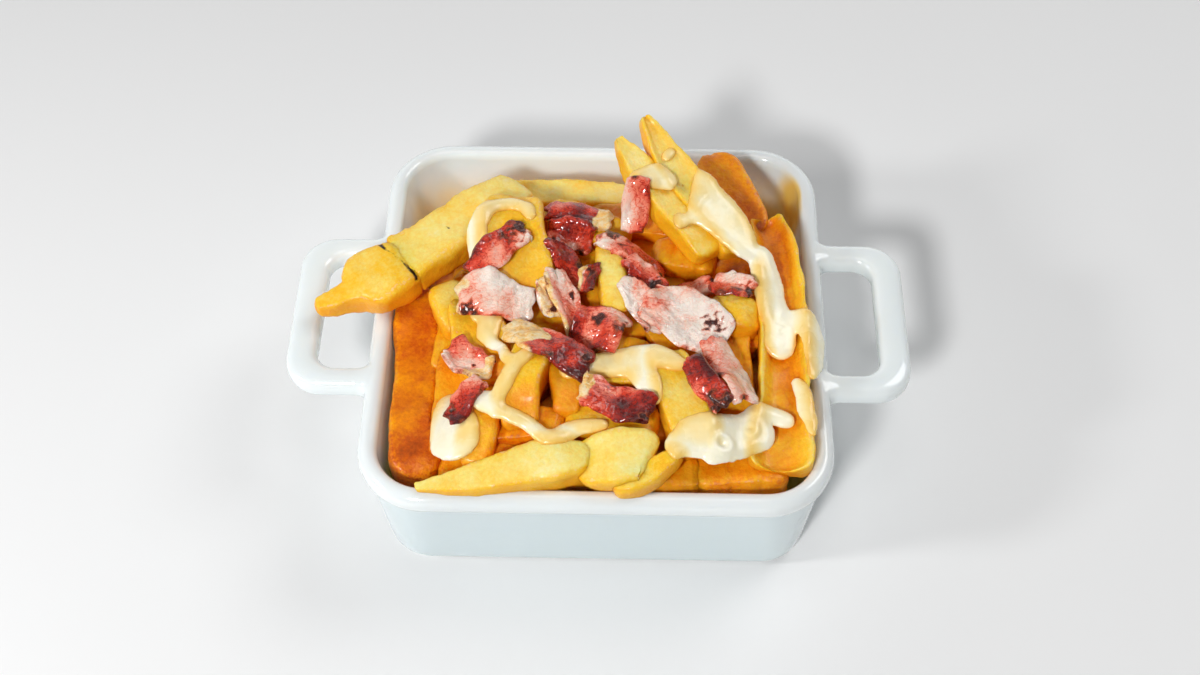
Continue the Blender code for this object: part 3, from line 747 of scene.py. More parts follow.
def glaze_finish():
    made, tree, shader = new_material("white glaze")
    where = object_place(tree)
    clouds, grain = mottled(tree, where, 45.0, 900.0, 1.0)
    white = mixed(tree, clouds + 0.5, screen(*GLAZE_WHITE), screen(*GLAZE_SHADE))
    height = where.part("Z")
    corner_x = (where.part("X").size() - FLAT_HALF).most(0.0)
    corner_y = (where.part("Y").size() - FLAT_HALF).most(0.0)
    off_middle = vector_of(tree, corner_x, corner_y, 0.0).length() + FLAT_HALF
    upright = off_middle - height * WALL_LEAN
    # painted shade on the outer wall, below the rim and off the handles
    outside = (1 - height.smooth(*UNDER_RIM)) * (1 - off_middle.smooth(*HANDLES))
    outside = outside * upright.smooth(*OUTER_WALL)
    white = mixed(tree, outside, white, screen(*GLAZE_OUTER_SHADE))
    deep = 1 - height.smooth(*OVER_FOOD)
    # painted cool tint inside the dish, against the bounced orange light
    inside = (1 - upright.smooth(*INNER_WALL)) * height.smooth(*OVER_FLOOR)
    white = mixed(tree, inside, white, screen(*GLAZE_INSIDE_COOLED))
    # oil film and painted golden bounce light on the wall just over the food
    oil_and_bounce = inside * deep * (waves(tree, where, 70.0, 3.0).smooth(0.3, 0.7) * 0.3 + 0.45)
    white = mixed(tree, oil_and_bounce, white, screen(*OIL_AND_BOUNCE_GLAZE))
    # the bright yellow patch on the inner right wall
    from_patch = (where - vector_of(tree, *YELLOW_PATCH_PLACE)) * vector_of(tree, 1.0, 0.75, 0.8)
    patch_mask = 1 - (from_patch.length() + clouds * 0.006).smooth(0.004, 0.010)
    ripple = clouds + grain * 0.04
    set_sockets(tree, shader, Base_Color=mixed(tree, patch_mask * inside * 0.85, white, screen(*YELLOW_PATCH)),
                Roughness=clouds * 0.08 + 0.12, Normal=bumps(tree, ripple, 0.0004, 0.35), IOR=1.5,
                Subsurface_Weight=0.5, Subsurface_Radius=(1.0, 0.95, 0.85), Subsurface_Scale=0.008,
                Coat_Weight=0.5, Coat_Roughness=0.05)
    return made


white_glaze = glaze_finish()
glazed_dish.data.materials.clear()
glazed_dish.data.materials.append(white_glaze)
print("glaze nodes:", len(white_glaze.node_tree.nodes))

# %% [markdown]
# ## Fried potato, the finish
# A fry is pale gold and browns first along its cut edges and at its tips. Its faces that turn away from up, its
# sunken faces and places deep in the heap are painted deeper orange, as shade. Its skin is finely blistered and
# dusted with starch grains, which also stand in for small glints as painted highlights, and light goes a few
# millimetres into it. The colour is a ramp over one number, how far it is fried.

# %% Make the fried potato material
FRYING = [
    (0.00, (255, 241, 178)),
    (0.20, (255, 226, 124)),
    (0.40, (254, 196, 40)),
    (0.60, (244, 150, 6)),
    (0.80, (208, 94, 4)),
    (1.00, (128, 42, 4)),
]
GOLDEN = 0.58  # how fried the edges get at least, and how deep the painted shade on sides that turn from up and on closed in faces goes
SCORCHED = (48, 20, 12)
# starch grains, which also stand in for small glints on the crust as painted highlights
STARCH_AND_GLINT = (255, 243, 206)


def potato_finish():
    made, tree, shader = new_material("fried potato")
    where = object_place(tree)
    clouds, grain = mottled(tree, where, 85.0, 800.0, 4.0)
    # painted shade: faces that turn away from up and places closed in by other fries (crowd) are made more
    # fried, deeper orange
    level = Formula(tree, tree.nodes.new("ShaderNodeNewGeometry").outputs["Normal"]).part("Z")
    rim, crowd = shader_attribute(tree, "rim"), shader_attribute(tree, "crowd")
    fried = shader_attribute(tree, "tone") * 0.9 + clouds * 0.6 + grain * (rim * 0.6 + 0.34) + crowd * 0.05
    edge_crust_and_painted_shade = ((1 - level.most(0.0)) * 0.5 + rim * 0.4 + crowd * 0.45).least(1.0)
    fried = fried + (GOLDEN - fried).most(0.0) * edge_crust_and_painted_shade
    # painted highlight: pale starch specks standing in for glints, fewer in the painted gap shade
    starch_and_glint = (grain + rim * 0.18 - crowd * 0.3).smooth(0.12, 0.30) * (1 - fried.smooth(0.45, 0.85))
    colour = mixed(tree, starch_and_glint * 0.36, ramp(tree, fried, FRYING), screen(*STARCH_AND_GLINT))
    scorch = (shader_attribute(tree, "scorch") + grain * 0.3).smooth(0.28, 0.55)
    blisters = add(tree, "ShaderNodeTexVoronoi", settings={"feature": "SMOOTH_F1"}, Vector=where, Scale=900.0)
    height = grain * 0.9 + (1 - blisters) * 0.4
    set_sockets(tree, shader, Base_Color=mixed(tree, scorch, colour, screen(*SCORCHED)),
                Roughness=clouds * 0.3 + grain * 0.5 + 0.42, Normal=bumps(tree, height, 0.0005, 0.65),
                Subsurface_Weight=0.4, Subsurface_Radius=(1.0, 0.5, 0.1), Subsurface_Scale=0.005,
                Specular_IOR_Level=0.26, Coat_Weight=0.2, Coat_Roughness=0.2)
    return made


fried_potato = potato_finish()
print("fried potato ramp:", len(FRYING), "stops")

# %% [markdown]
# ## The fries that show
# These are thick wedges and slabs, and no two are alike: one lies over the rim and ends in a point, one is
# forked, one has sunk between its long edges. Each is described by a few stations along its length, with
# the place, width, height and roll there. A skin is lofted over them: a square section with soft corners,
# closed by rounded ends. The forked fry is two long halves that lie in each other up to the notch.

# %% List the fries that show
# square: how square its cut is. hollow: how deep its upper face has sunk, in millimetres.
# ends: how far its first and its last end are rounded, in half widths.
# tone: how fried it is at its first and at its last station, 0 raw and 1 dark.
# stations: x, y and z of the middle, width and height in millimetres, and roll in degrees.
Fry = namedtuple("Fry", "square hollow ends tone stations")
SHOWN_FRIES = {
    "over the rim": Fry(4.4, 0.5, (0.8, 0.22), (0.16, 0.26), [
        (-25.5, 44, 51, 15, 10, 0), (-32, 37.5, 53, 16.5, 11, 0), (-38.4, 31, 54, 17.4, 11.5, 4),
        (-45.6, 23.4, 54.5, 17.8, 11.5, 6), (-52.6, 17, 54.5, 18.2, 11, 5), (-58.5, 12.4, 54, 19, 10.5, 2),
        (-61.6, 10, 53.5, 19, 9.5, 0),
    ]),
    "pointed lobe": Fry(3.8, 0, (0.22, 0.7), (0.34, 0.4), [
        (-58.5, 11.4, 53, 17, 9, 0), (-62, 8.8, 53.4, 19.6, 10.5, 0), (-66, 6.4, 53.4, 20.4, 11, 0),
        (-69.6, 4.4, 53, 20.6, 10.5, -3), (-72.6, 2.4, 52.6, 18.8, 10, -4),
        (-74.8, 0.8, 52.2, 13.6, 9, -4), (-76.8, -0.8, 52, 9, 8, 0), (-81, -2.8, 51.6, 7.2, 6.6, 0),
        (-84.4, -3.8, 51.4, 5.8, 5.6, 0), (-87, -4.6, 51.2, 4.4, 4.6, 0),
    ]),
    "under the ring": Fry(4.4, 1.6, (0.9, 0.6), (0.34, 0.44), [
        (-27.5, 33, 60, 14, 7, 0), (-27.5, 26, 61.5, 18.5, 8, 0), (-26.5, 18, 61.5, 19.5, 8.5, 2),
        (-25, 11, 60.5, 19, 8.5, 2), (-23, 4, 58, 18, 8.5, 0), (-22, -2, 56, 15, 8, 0),
    ]),
    "fork, long half": Fry(6, 1.5, (0.5, 0.6), (0.3, 0.2), [
        (43.4, 15.6, 55, 11.6, 8, 0), (40.4, 21.6, 57, 12.2, 8.5, 0), (36.2, 27.4, 58.8, 12.4, 9, 0),
        (31.2, 33, 60.8, 12.4, 9, -3), (26.4, 37.6, 62.8, 12, 9, -4), (22.8, 41.8, 65, 11.2, 8.5, -4),
        (19.4, 46.4, 67.2, 9.2, 8, -3), (16.8, 50.8, 69.4, 6.8, 7, 0), (14.6, 54.4, 71.2, 4.6, 5.6, 0),
        (13.2, 57, 72.6, 2.2, 3.6, 0),
    ]),
    "fork, short half": Fry(6, 0.6, (0.5, 0.6), (0.34, 0.2), [
        (35.2, 15, 54.8, 11.6, 8, 0), (31.2, 20.5, 57, 12.2, 8.5, 0), (26.8, 25.6, 58.8, 12.4, 9, 0),
        (22.2, 30, 60.8, 12.4, 9, 3), (17.6, 34.8, 62.8, 12, 9, 4), (13.2, 39.2, 64.7, 10.8, 8.5, 4),
        (9.6, 43.6, 66.8, 8, 7.6, 3), (6.8, 47.4, 68.6, 5, 5.6, 0), (4.8, 50.4, 70, 2.2, 3.6, 0),
    ]),
    "back right": Fry(3.4, 0.8, (1.2, 0.6), (0.62, 0.74), [
        (34.5, 59, 53, 10, 5, 0), (37.5, 52.5, 52.5, 15.5, 6, 0), (41.5, 44, 51, 16.5, 6.5, 0),
        (45, 35, 49, 16, 7, 0), (47, 27.5, 48, 14, 7, 0),
    ]),
    "along the right wall": Fry(6, 5.2, (0.4, 0.35), (0.38, 0.16), [
        (52, 33, 50.5, 11, 9, 0), (54.4, 22, 51, 13, 10.5, 0), (55.8, 6, 50.5, 14, 12, 0),
        (56, -12.5, 49.5, 14.5, 13, 0), (55.6, -28.5, 48.5, 15, 13, 0), (55.4, -40, 47.5, 16.5, 12.5, 0),
        (54.4, -48, 46.8, 18.5, 11.5, 0), (53.8, -54, 46, 19, 10.5, 0), (53.6, -58, 45.4, 17.5, 9.5, 0),
    ]),
    "upright": Fry(5.5, 0.6, (0.7, 0.8), (0.3, 0.34), [
        (21, -22, 51.5, 9, 11, 0), (22.2, -28, 52.5, 12, 12, 0), (24, -35, 52.5, 13, 13, 0),
        (26, -42, 51.5, 13.5, 13, 0), (28, -49, 50, 13, 12, 0), (29, -55, 48.5, 11, 11, 0),
    ]),
    "long in front": Fry(4, 0.3, (0.8, 0.8), (0.24, 0.2), [
        (-51.5, -65.8, 46.8, 2.4, 2.6, 0), (-45, -65, 47, 5, 4.5, 0), (-38, -64, 47.2, 8, 6.5, 4),
        (-29, -62, 47.6, 10.5, 8.5, 6), (-20, -59.6, 48.2, 12.5, 9.5, 6), (-11, -57.8, 48.8, 13.5, 10, 4),
        (-4, -57.4, 49, 11, 9, 0), (-0.5, -58, 49, 8, 7, 0),
    ]),
    "folded, body": Fry(4.6, 1, (0.7, 0.4), (0.2, 0.14), [
        (-5, -59.4, 46.6, 11, 8, 0), (-1, -58.2, 48.6, 14.4, 9, 6), (4.5, -57.6, 50.4, 16.4, 9.5, 8),
        (9.5, -57, 51, 16.4, 9.5, 8), (13.6, -57.2, 50.8, 15.4, 9, 6), (16, -58, 50, 13.4, 8, 2),
    ]),
    "folded, hook": Fry(3.4, 0, (0.8, 0.8), (0.34, 0.52), [
        (5.5, -64.6, 47.4, 6, 6, 0), (10.5, -64.2, 48.4, 7.2, 7, 0), (15, -62.6, 49.6, 7, 7, 0),
        (19, -60, 51, 6.4, 6.6, 0), (22, -57.8, 52.2, 5.2, 5.4, 0), (24.4, -56, 53.2, 3, 3.4, 0),
    ]),
    "down the left wall": Fry(4.2, 0.8, (0.8, 0.9), (0.64, 0.8), [
        (-60, 11, 37.5, 11, 13, 0), (-57.6, 2, 38, 13, 14, 0), (-56.2, -8, 37.5, 14, 14, 0),
        (-55.2, -19, 37, 14, 14, 0), (-55.2, -30.5, 37, 13.5, 14, 0), (-55.6, -39.5, 37, 13, 14, 0),
        (-53.4, -48.5, 37, 15, 14, 0), (-51, -58, 37, 14, 13, 0),
    ]),
    "left chunk": Fry(3.4, 0, (0.9, 0.8), (0.28, 0.36), [
        (-48.5, 5, 49.2, 10, 10, 0), (-46, -0.5, 50, 12.5, 11, 0), (-43.5, -6, 49.5, 12, 11, 0),
        (-41, -12.5, 47.5, 10, 10, 0),
    ]),
    "left broad": Fry(4.4, 1.4, (0.8, 0.8), (0.36, 0.5), [
        (-38.8, -1, 50.5, 12, 11, 0), (-37.6, -8, 51.5, 16, 12, 0), (-36, -16, 51.5, 17, 12, 0),
        (-34, -23, 50.5, 16.5, 12, 0), (-32, -31, 48.5, 14, 11, 0),
    ]),
    "sauced stub": Fry(4.4, 0.8, (0.7, 0.8), (0.34, 0.6), [
        (-17.6, -21.5, 54, 9, 10, 0), (-19, -26, 55.5, 11.5, 12, 0), (-21, -31, 55.5, 12.5, 12.5, 0),
        (-22.5, -36.5, 54, 12.5, 12.5, 0), (-22.5, -41.5, 51.5, 12, 12, 0),
        (-21.5, -47.5, 48.5, 10.5, 11, 0),
    ]),
    "orange stub": Fry(4.2, 0, (0.7, 0.8), (0.56, 0.62), [
        (-10.5, -24, 51, 8, 11, 0), (-9.5, -29, 51.5, 9.5, 12, 0), (-8.5, -36, 50.5, 9.5, 12, 0),
        (-8.5, -42.5, 48.2, 8.5, 11, 0),
    ]),
    "low left": Fry(4.2, 0, (0.8, 0.8), (0.56, 0.48), [
        (-32.3, -38.5, 50, 8, 10, 0), (-32.5, -46, 49, 9.5, 11, 0), (-33.5, -51, 47, 9.5, 11, 0),
        (-35, -58.5, 44.5, 8, 10, 0),
    ]),
    "along the back wall": Fry(5, 0.4, (0.8, 0.8), (0.22, 0.18), [
        (-33, 46.6, 42.2, 10, 11, 0), (-25, 46.8, 42.8, 11, 11.5, 0), (-14, 47, 43.2, 11, 11.5, 0),
        (-2.5, 46.8, 43.2, 11, 11.5, 0), (10, 46, 42.6, 11, 11, 0),
    ]),
    "golden, on the right": Fry(3.8, 0, (0.9, 0.95), (0.44, 0.5), [
        (33, -3.5, 49, 9, 10, 0), (38, -5.5, 50.5, 12, 11.5, 0), (43.5, -6.8, 51, 12.5, 12, 0),
        (49.5, -8.2, 50, 10.5, 10, 0),
    ]),
    "in the middle": Fry(4.4, 0.4, (0.8, 0.8), (0.42, 0.5), [
        (-9.5, -42, 47, 12, 11, 0), (-2, -42.6, 48, 14, 12, 0), (8, -43.2, 48, 14.5, 12, 0),
        (19, -43, 47.5, 12.5, 11, 0),
    ]),
    "between the bacon": Fry(4.2, 0, (0.8, 0.8), (0.34, 0.28), [
        (2.2, 16, 53.5, 6.5, 11, 0), (3.5, 7, 54.5, 9, 12.5, 0), (4.5, -1, 54.5, 9, 12, 0),
        (5, -9.5, 53, 8, 11, 0),
    ]),
}
SCORCH_MARKS = [  # each: points on a burnt line in millimetres, and its half width
    ([(-69.6, 17.6, 57.6), (-66.8, 13.4, 59.4), (-63.4, 10.6, 59.6), (-60.6, 8.4, 59.4), (-57.4, 4.8, 58.6),
      (-55.0, 0.8, 56.4), (-54.6, -2.6, 53.0)], 0.62),
    ([(-48.6, 23.2, 60.2), (-47.2, 21.2, 60.2)], 0.45),
]
print("fries listed:", len(SHOWN_FRIES))

# %% Place the rings along a fry
RING_SPACING = 0.78
END_RINGS = 7
STATION_STEPS = 12
END_ROUNDNESS = 2.4  # 2 would be a round end, more is blunter
UNEVEN = 0.08  # how much a fry's width and height wander along it
SWELL_LENGTH = 9


def wander(where, seed):
    """A smooth value around 1 for each place along a fry."""
    return np.array([1 + UNEVEN * noise.noise(Vector((s, seed, 0.7))) for s in where / SWELL_LENGTH])


def along_fry(fry, number):
    """The rings' middles, sideways and upward directions, widths, heights, and how closed they are."""
    path = np.array(smooth_path(fry.stations, STATION_STEPS))
    steps = np.linalg.norm(np.diff(path[:, :3], axis=0), axis=1)
    gone = np.concatenate([[0], np.cumsum(steps)])
    length = gone[-1]
    even = np.arange(RING_SPACING, length - RING_SPACING * 0.5, RING_SPACING)
    curve = 1 - np.cos(np.linspace(0.12, math.pi / 2, END_RINGS))
    caps = [min(share * fry.stations[end][3] / 2, length / 3) for share, end in zip(fry.ends, (0, -1))]
    where = np.concatenate([caps[0] * curve, length - caps[1] * curve,
                            even[(even > caps[0] * 1.05) & (even < length - caps[1] * 1.05)]])
    where = np.unique(where.round(4))
    table = np.array([np.interp(where, gone, column) for column in path.T]).T
    middle, width, height, roll = table[:, :3], table[:, 3], table[:, 4], np.radians(table[:, 5])
    ahead = np.gradient(middle, axis=0)
    ahead /= np.linalg.norm(ahead, axis=1, keepdims=True)
    side = np.cross((0, 0, 1), ahead)
    side /= np.linalg.norm(side, axis=1, keepdims=True)
    up = np.cross(ahead, side)
    turn_c, turn_s = np.cos(roll)[:, None], np.sin(roll)[:, None]
    side, up = side * turn_c + up * turn_s, up * turn_c - side * turn_s
    width = width * wander(where, number * 3.7)
    height = height * wander(where, number * 5.9 + 40)
    near = [np.clip(where / max(caps[0], 0.01), 0, 1), np.clip((length - where) / max(caps[1], 0.01), 0, 1)]
    closing = np.prod([(1 - (1 - n) ** END_ROUNDNESS) ** (1 / END_ROUNDNESS) for n in near], axis=0)
    return middle, side, up, width, height, closing


for title in ("pointed lobe", "upright"):
    print("rings along", title + ":", len(along_fry(SHOWN_FRIES[title], 0)[0]))

# %% Loft a fry over its rings
FRY_SIDES = 48
CRISPNESS = 1.6  # how much squarer than listed the cut is, before the skin softens it
TROUGH_SHARE = 0.86  # how much of a sunken face's width is sunk
TROUGH_PAINTED_SHADE = 0.075  # painted shade in a sunken face: how much more fried it is made for each millimetre that it is sunk
RIM_START = 0.70  # how far out in both directions, in half widths, the crust of an edge starts
RIM_SOFTNESS = 0.16


def loft_fry(fry, number):
    """The points and faces of one fry, how near each point is to one of its edges, and how fried it is, with
    painted shade in its sunken face.
    """
    middle, side, up, width, height, closing = along_fry(fry, number)
    angle = np.linspace(0, 2 * math.pi, FRY_SIDES, endpoint=False)
    c, s = np.cos(angle), np.sin(angle)
    square = fry.square * CRISPNESS
    reach = (np.abs(c) ** square + np.abs(s) ** square) ** (-1 / square)
    flat_x, flat_y = c * reach, s * reach
    across = flat_x[None] * (width * closing)[:, None] / 2
    trough = fry.hollow * np.clip(1 - np.abs(flat_x / TROUGH_SHARE) ** 4, 0, 1) * np.clip(flat_y * 1.2, 0, 1)
    over = flat_y[None] * (height * closing)[:, None] / 2 - trough[None] * closing[:, None] ** 2
    rings = middle[:, None] + side[:, None] * across[..., None] + up[:, None] * over[..., None]
    ends = np.array([rings[0].mean(0), rings[-1].mean(0)])
    points = np.concatenate([rings.reshape(-1, 3), ends])
    index = np.arange(rings.shape[0] * FRY_SIDES).reshape(rings.shape[:2])
    after = np.roll(index, -1, axis=1)
    quads = np.stack([index[:-1], after[:-1], after[1:], index[1:]], axis=-1).reshape(-1, 4)
    first, last = len(points) - 2, len(points) - 1
    faces = quads.tolist() + [[first, b, a] for a, b in zip(index[0], after[0])]
    faces += [[last, a, b] for a, b in zip(index[-1], after[-1])]
    corner = np.minimum(np.abs(flat_x), np.abs(flat_y))
    rim = np.clip((corner - RIM_START) / RIM_SOFTNESS, 0, 1)[None] * np.ones(len(middle))[:, None]
    rim = np.maximum(rim, np.clip((0.8 - closing) / 0.5, 0, 1)[:, None])
    # a sunken face gets painted shade along its trough
    tone = np.linspace(*fry.tone, len(middle))[:, None] + trough[None] * TROUGH_PAINTED_SHADE
    return points, faces, np.concatenate([rim.ravel(), [1, 1]]), np.concatenate([tone.ravel(), fry.tone])


print("points of the upright fry:", len(loft_fry(SHOWN_FRIES["upright"], 0)[0]))


# %% Mark the burnt lines, and join the fries that show
SEED_STEP = 1.37  # each fry is this much further on in the same noise


def burnt(points):
    """How near each point is to a scorch mark, 1 in its middle."""
    burn = np.zeros(len(points))
    for line, half in SCORCH_MARKS:
        for dot in smooth_path(line, STATION_STEPS):
            burn = np.maximum(burn, 1 - np.linalg.norm(points - dot, axis=1) / (half * 2))
    return burn


def shown_fries_mesh():
    points, faces, rims, tones, seeds = [], [], [], [], []
    for number, fry in enumerate(SHOWN_FRIES.values()):
        some, skin, rim, tone = loft_fry(fry, number)
        shift = sum(len(each) for each in points)
        points.append(some)
        faces += [[shift + i for i in face] for face in skin]
        rims.append(rim)
        tones.append(tone)
        seeds.append(np.full(len(some), number * SEED_STEP))
    points = np.concatenate(points)
    mesh = bpy.data.meshes.new("shown fries")
    mesh.from_pydata((points * MM).tolist(), [], faces)
    for title, values in (("rim", rims), ("tone", tones), ("seed", seeds)):
        put_attribute(mesh, title, np.concatenate(values))
    put_attribute(mesh, "scorch", burnt(points))
    return mesh


shown_fries = shown_fries_mesh()
print("points of the fries that show:", len(shown_fries.vertices))

# %% [markdown]
# ## The skin of a fry
# A cut potato is never flat. Its faces swell and dent where the knife and the fryer left them, and small
# lumps of crust stand along its edges. One piece of a node tree does that for every fry, in two sizes of
# noise.

# %% Roughen a skin, and grow the fries that show
SKIN = {"Dents": 0.0012, "Lumps": 0.00028, "Edge Crust": 0.0007, "Scorch Depth": 0.0014}  # metres


def roughened(tree, mesh, given, seed):
    """Moves every point along its normal, by broad dents and by small lumps, and sinks the scorch marks."""
    here = add(tree, "GeometryNodeInputPosition")
    dents = (waves(tree, here, 95.0, 1.0, seed=seed) - 0.5) * given["Dents"] * 2
    edge = attribute(tree, "rim") * given["Edge Crust"] + given["Lumps"]
    lumps = (waves(tree, here, 420.0, 3.0, 0.6, seed=seed) - 0.5) * edge * 2
    facing = add(tree, "GeometryNodeInputNormal")
    sunk = attribute(tree, "scorch").smooth(0.2, 1.0) * given["Scorch Depth"]
    return add(tree, "GeometryNodeSetPosition", Geometry=mesh, Offset=facing * (dents + lumps - sunk))


def skin_tree(finish):
    tree, given = new_tree("potato skin", SKIN)
    end_tree(tree, roughened(tree, given["Mesh"], given, attribute(tree, "seed")), finish)
    return tree


def drop_attributes(mesh, kept):
    """Removes the sizes that a tree read, so that the mesh keeps only what its finish reads."""
    spare = [each for each in mesh.attributes if not each.is_internal and not each.is_required]
    for name in [each.name for each in spare if each.name not in kept]:
        mesh.attributes.remove(mesh.attributes[name])


KEPT_ATTRIBUTES = ("tone", "rim", "scorch", "crowd", "sharp_face")
potato_skin = skin_tree(fried_potato)
upper_fries = grow("upper_fries", potato_skin, shown_fries)
drop_attributes(upper_fries.data, KEPT_ATTRIBUTES)
print("fries that show, faces:", len(upper_fries.data.polygons))

# %% [markdown]
# ## Plain cut fries
# The fries lower in the heap are bars from a cutter: straight, with square ends, a little bent. One tree
# makes them all. It copies a subdivided cube to a point for each fry, and moves the cube's points by a
# formula that reads the sizes of that fry. The packed solid has nearly all of them within a few millimetres. The
# one from (-7, -29) to (20, -27.5) is only here, and holds up the sauce in the middle.

# %% List the plain fries under them
# start, end, width, height and bow are in millimetres, and lean is in degrees.
# ends: how thick both ends are, as a share of the middle. tone: how fried it is.
Bar = namedtuple("Bar", "start end width height bow lean ends tone")
LOWER_FRIES = [Bar(*row) for row in (
    ((-4, 37, 44), (32, 30, 46), 14, 12, (0, 0, 1), 0, (0.9, 0.8), 0.56),
    ((-18, 35, 49), (8, 22, 50), 13, 12, (0, 0, 1), 0, (0.9, 0.9), 0.46),
    ((18, 46, 38), (50, 40, 38), 15, 13, (0, 0, 0), 0, (0.9, 0.8), 0.68),
    ((-55, 23, 35), (-26, 43, 37), 15, 13, (0, 0, 0), 0, (0.8, 0.9), 0.66),
    ((40, 12, 45), (41, -48, 43), 13, 12, (0, 0, 1), 0, (0.9, 0.9), 0.56),
    ((14, 4, 48), (32, -36, 47), 14, 12, (0, 0, 1), 0, (0.9, 0.9), 0.56),
    ((-46, -55, 37), (14, -55, 37), 13, 13, (0, 0, 0), 0, (0.9, 0.9), 0.62),
    ((12, -58, 41), (31, -57.6, 42), 12, 12, (0, 0, 0), 0, (0.8, 0.8), 0.62),
    ((28, -56, 40), (56, -54, 40), 14, 13, (0, 0, 0), 0, (0.9, 0.9), 0.62),
    ((-41, -4, 40), (-43, -52, 39), 15, 14, (0, 0, 0), 0, (0.9, 0.95), 0.64),
    ((-33, -46, 46), (-9, -46, 48), 12, 12, (0, 0, 0), 0, (0.8, 0.9), 0.66),
    ((-33, -53, 43), (-12, -52, 44), 11, 11, (0, 0, 0), 0, (0.8, 0.9), 0.58),
    ((-2, -19, 49), (16, -21, 49), 12, 12, (0, 0, 0), 0, (0.8, 0.8), 0.52),
    ((-7, -29, 50.5), (20, -27.5, 49.5), 12, 12, (0, 0, 0), 0, (0.9, 0.9), 0.44),
    ((16, 20, 47), (36, 17, 47), 13, 12, (0, 0, 0), 0, (0.9, 0.9), 0.62),
    ((-32, 24, 46), (-12, -12, 48), 14, 12, (0, 0, 0), 0, (0.9, 0.9), 0.54),
    ((-14, 30, 45), (12, -14, 47), 14, 12, (0, 0, 1), 0, (0.9, 0.9), 0.54),
)]
print("plain fries listed:", len(LOWER_FRIES))


# %% Build the tree that makes a plain fry
def bar_tree(finish):
    tree, given = new_tree("cut potato", {
        "Along Cells": 60, "Across Cells": 13, "Corner Share": 0.24, "Shrink": 0.0008,
        "Rim Width": 0.0026, **SKIN,
    })
    cube = add(tree, "GeometryNodeMeshCube", Size=(2, 2, 2), Vertices_X=given["Along Cells"],
               Vertices_Y=given["Across Cells"], Vertices_Z=given["Across Cells"])
    cube = store(tree, cube, "bar", add(tree, "GeometryNodeInputPosition"), "FLOAT_VECTOR")
    copies = add(tree, "GeometryNodeInstanceOnPoints", Points=given["Mesh"], Instance=cube)
    bars = add(tree, "GeometryNodeRealizeInstances", Geometry=copies)

    bar = attribute(tree, "bar", "FLOAT_VECTOR")
    start, end, bow = (attribute(tree, name, "FLOAT_VECTOR") for name in ("start", "end", "bow"))
    width, height, lean, first, last, seed = (
        attribute(tree, name) for name in ("width", "height", "lean", "first", "last", "seed"))
    run = end - start
    half = vector_of(tree, run.length() * 0.5, width * 0.5, height * 0.5)
    corner = height * given["Corner Share"]
    inner = half - corner
    spot = bar * half
    kept = spot.most(inner * -1).least(inner)
    spot = kept + (spot - kept).unit() * corner
    x, y, z = (spot.part(axis) for axis in "XYZ")
    bx, by, bz = (bar.part(axis) for axis in "XYZ")
    slant = waves(tree, vector_of(tree, 0, 3, 0), 1.0, seed=seed * 5.3) - 0.5

    t = x / run.length() + 0.5
    middle = (t * (1 - t) * 5).least(1.0)
    swell = t.between(first, last)
    swell = middle.between(swell, 1.0 + (waves(tree, vector_of(tree, t, 0, 0), 3.0, seed=seed) - 0.5) * 0.5)
    across = (y - by * given["Shrink"] * (1 - bz * bz)) * swell
    over = (z - bz * given["Shrink"] * (1 - by * by)) * swell
    twist = lean + (t - 0.5) * (waves(tree, vector_of(tree, 0, 0, 0), 1.0, seed=seed * 3.7) - 0.5) * 1.6
    across, over = (across * twist.join("COSINE") - over * twist.join("SINE"),
                    across * twist.join("SINE") + over * twist.join("COSINE"))
    sway = vector_of(tree, 0, 0, (waves(tree, vector_of(tree, t, 5, 0), 2.0, seed=seed) - 0.5) * 0.003)
    centre = start + run * (t + slant * across / run.length() * bx.power(2)) + bow * (t * (1 - t) * 4) + sway
    ahead = (run + bow * (4 - t * 8)).unit()
    side = vector_of(tree, 0, 0, 1).cross(ahead).unit()
    place = centre + side * across + ahead.cross(side) * over
    bent = add(tree, "GeometryNodeSetPosition", Geometry=bars, Position=place)
    rough = roughened(tree, bent, given, seed)

    inset = vector_of(tree, (1 - bx.size()), (1 - by.size()), (1 - bz.size())) * half
    ix, iy, iz = (inset.part(axis) for axis in "XYZ")
    edge = ix + iy + iz - ix.most(iy).most(iz)
    marked = store(tree, rough, "rim", 1 - edge.smooth(0.0, given["Rim Width"]))
    end_tree(tree, marked, finish)
    return tree


cut_potato = bar_tree(fried_potato)
print("cut potato tree:", len(cut_potato.nodes), "nodes")

# %% Make the plain fries
END_SHRINK = 0.94


def seed_points(bars, first_seed):
    """A mesh with one point for each fry, which carries its sizes in metres and radians."""
    mesh = bpy.data.meshes.new("fry points")
    mesh.vertices.add(len(bars))
    for name in ("start", "end", "bow"):
        put_attribute(mesh, name, [[v * MM for v in getattr(bar, name)] for bar in bars])
    for name in ("width", "height"):
        put_attribute(mesh, name, [getattr(bar, name) * MM for bar in bars])
    put_attribute(mesh, "lean", [math.radians(bar.lean) for bar in bars])
    for name, end in (("first", 0), ("last", 1)):
        put_attribute(mesh, name, [bar.ends[end] * END_SHRINK for bar in bars])
    put_attribute(mesh, "tone", [bar.tone for bar in bars])
    put_attribute(mesh, "scorch", [0.0] * len(bars))
    put_attribute(mesh, "seed", [first_seed + SEED_STEP * number for number in range(len(bars))])
    return mesh


def make_bars(name, bars, first_seed, **inputs):
    piece = grow(name, cut_potato, seed_points(bars, first_seed), **inputs)
    drop_attributes(piece.data, KEPT_ATTRIBUTES)
    return piece


lower_fries = make_bars("lower_fries", LOWER_FRIES, 50.0)
for piece in (upper_fries, lower_fries):
    size = [round(side / MM) for side in piece.dimensions]
    print(piece.name, "faces:", len(piece.data.polygons), "size, mm:", size)

# %% [markdown]
# ## The fries underneath
# Between the fries that show there are more, down to the floor of the dish. Their places aren't known, so
# they are laid by a rule: each layer has its own direction, and a seeded draw turns and shifts every fry.
# A rough mound below them closes the last gaps.

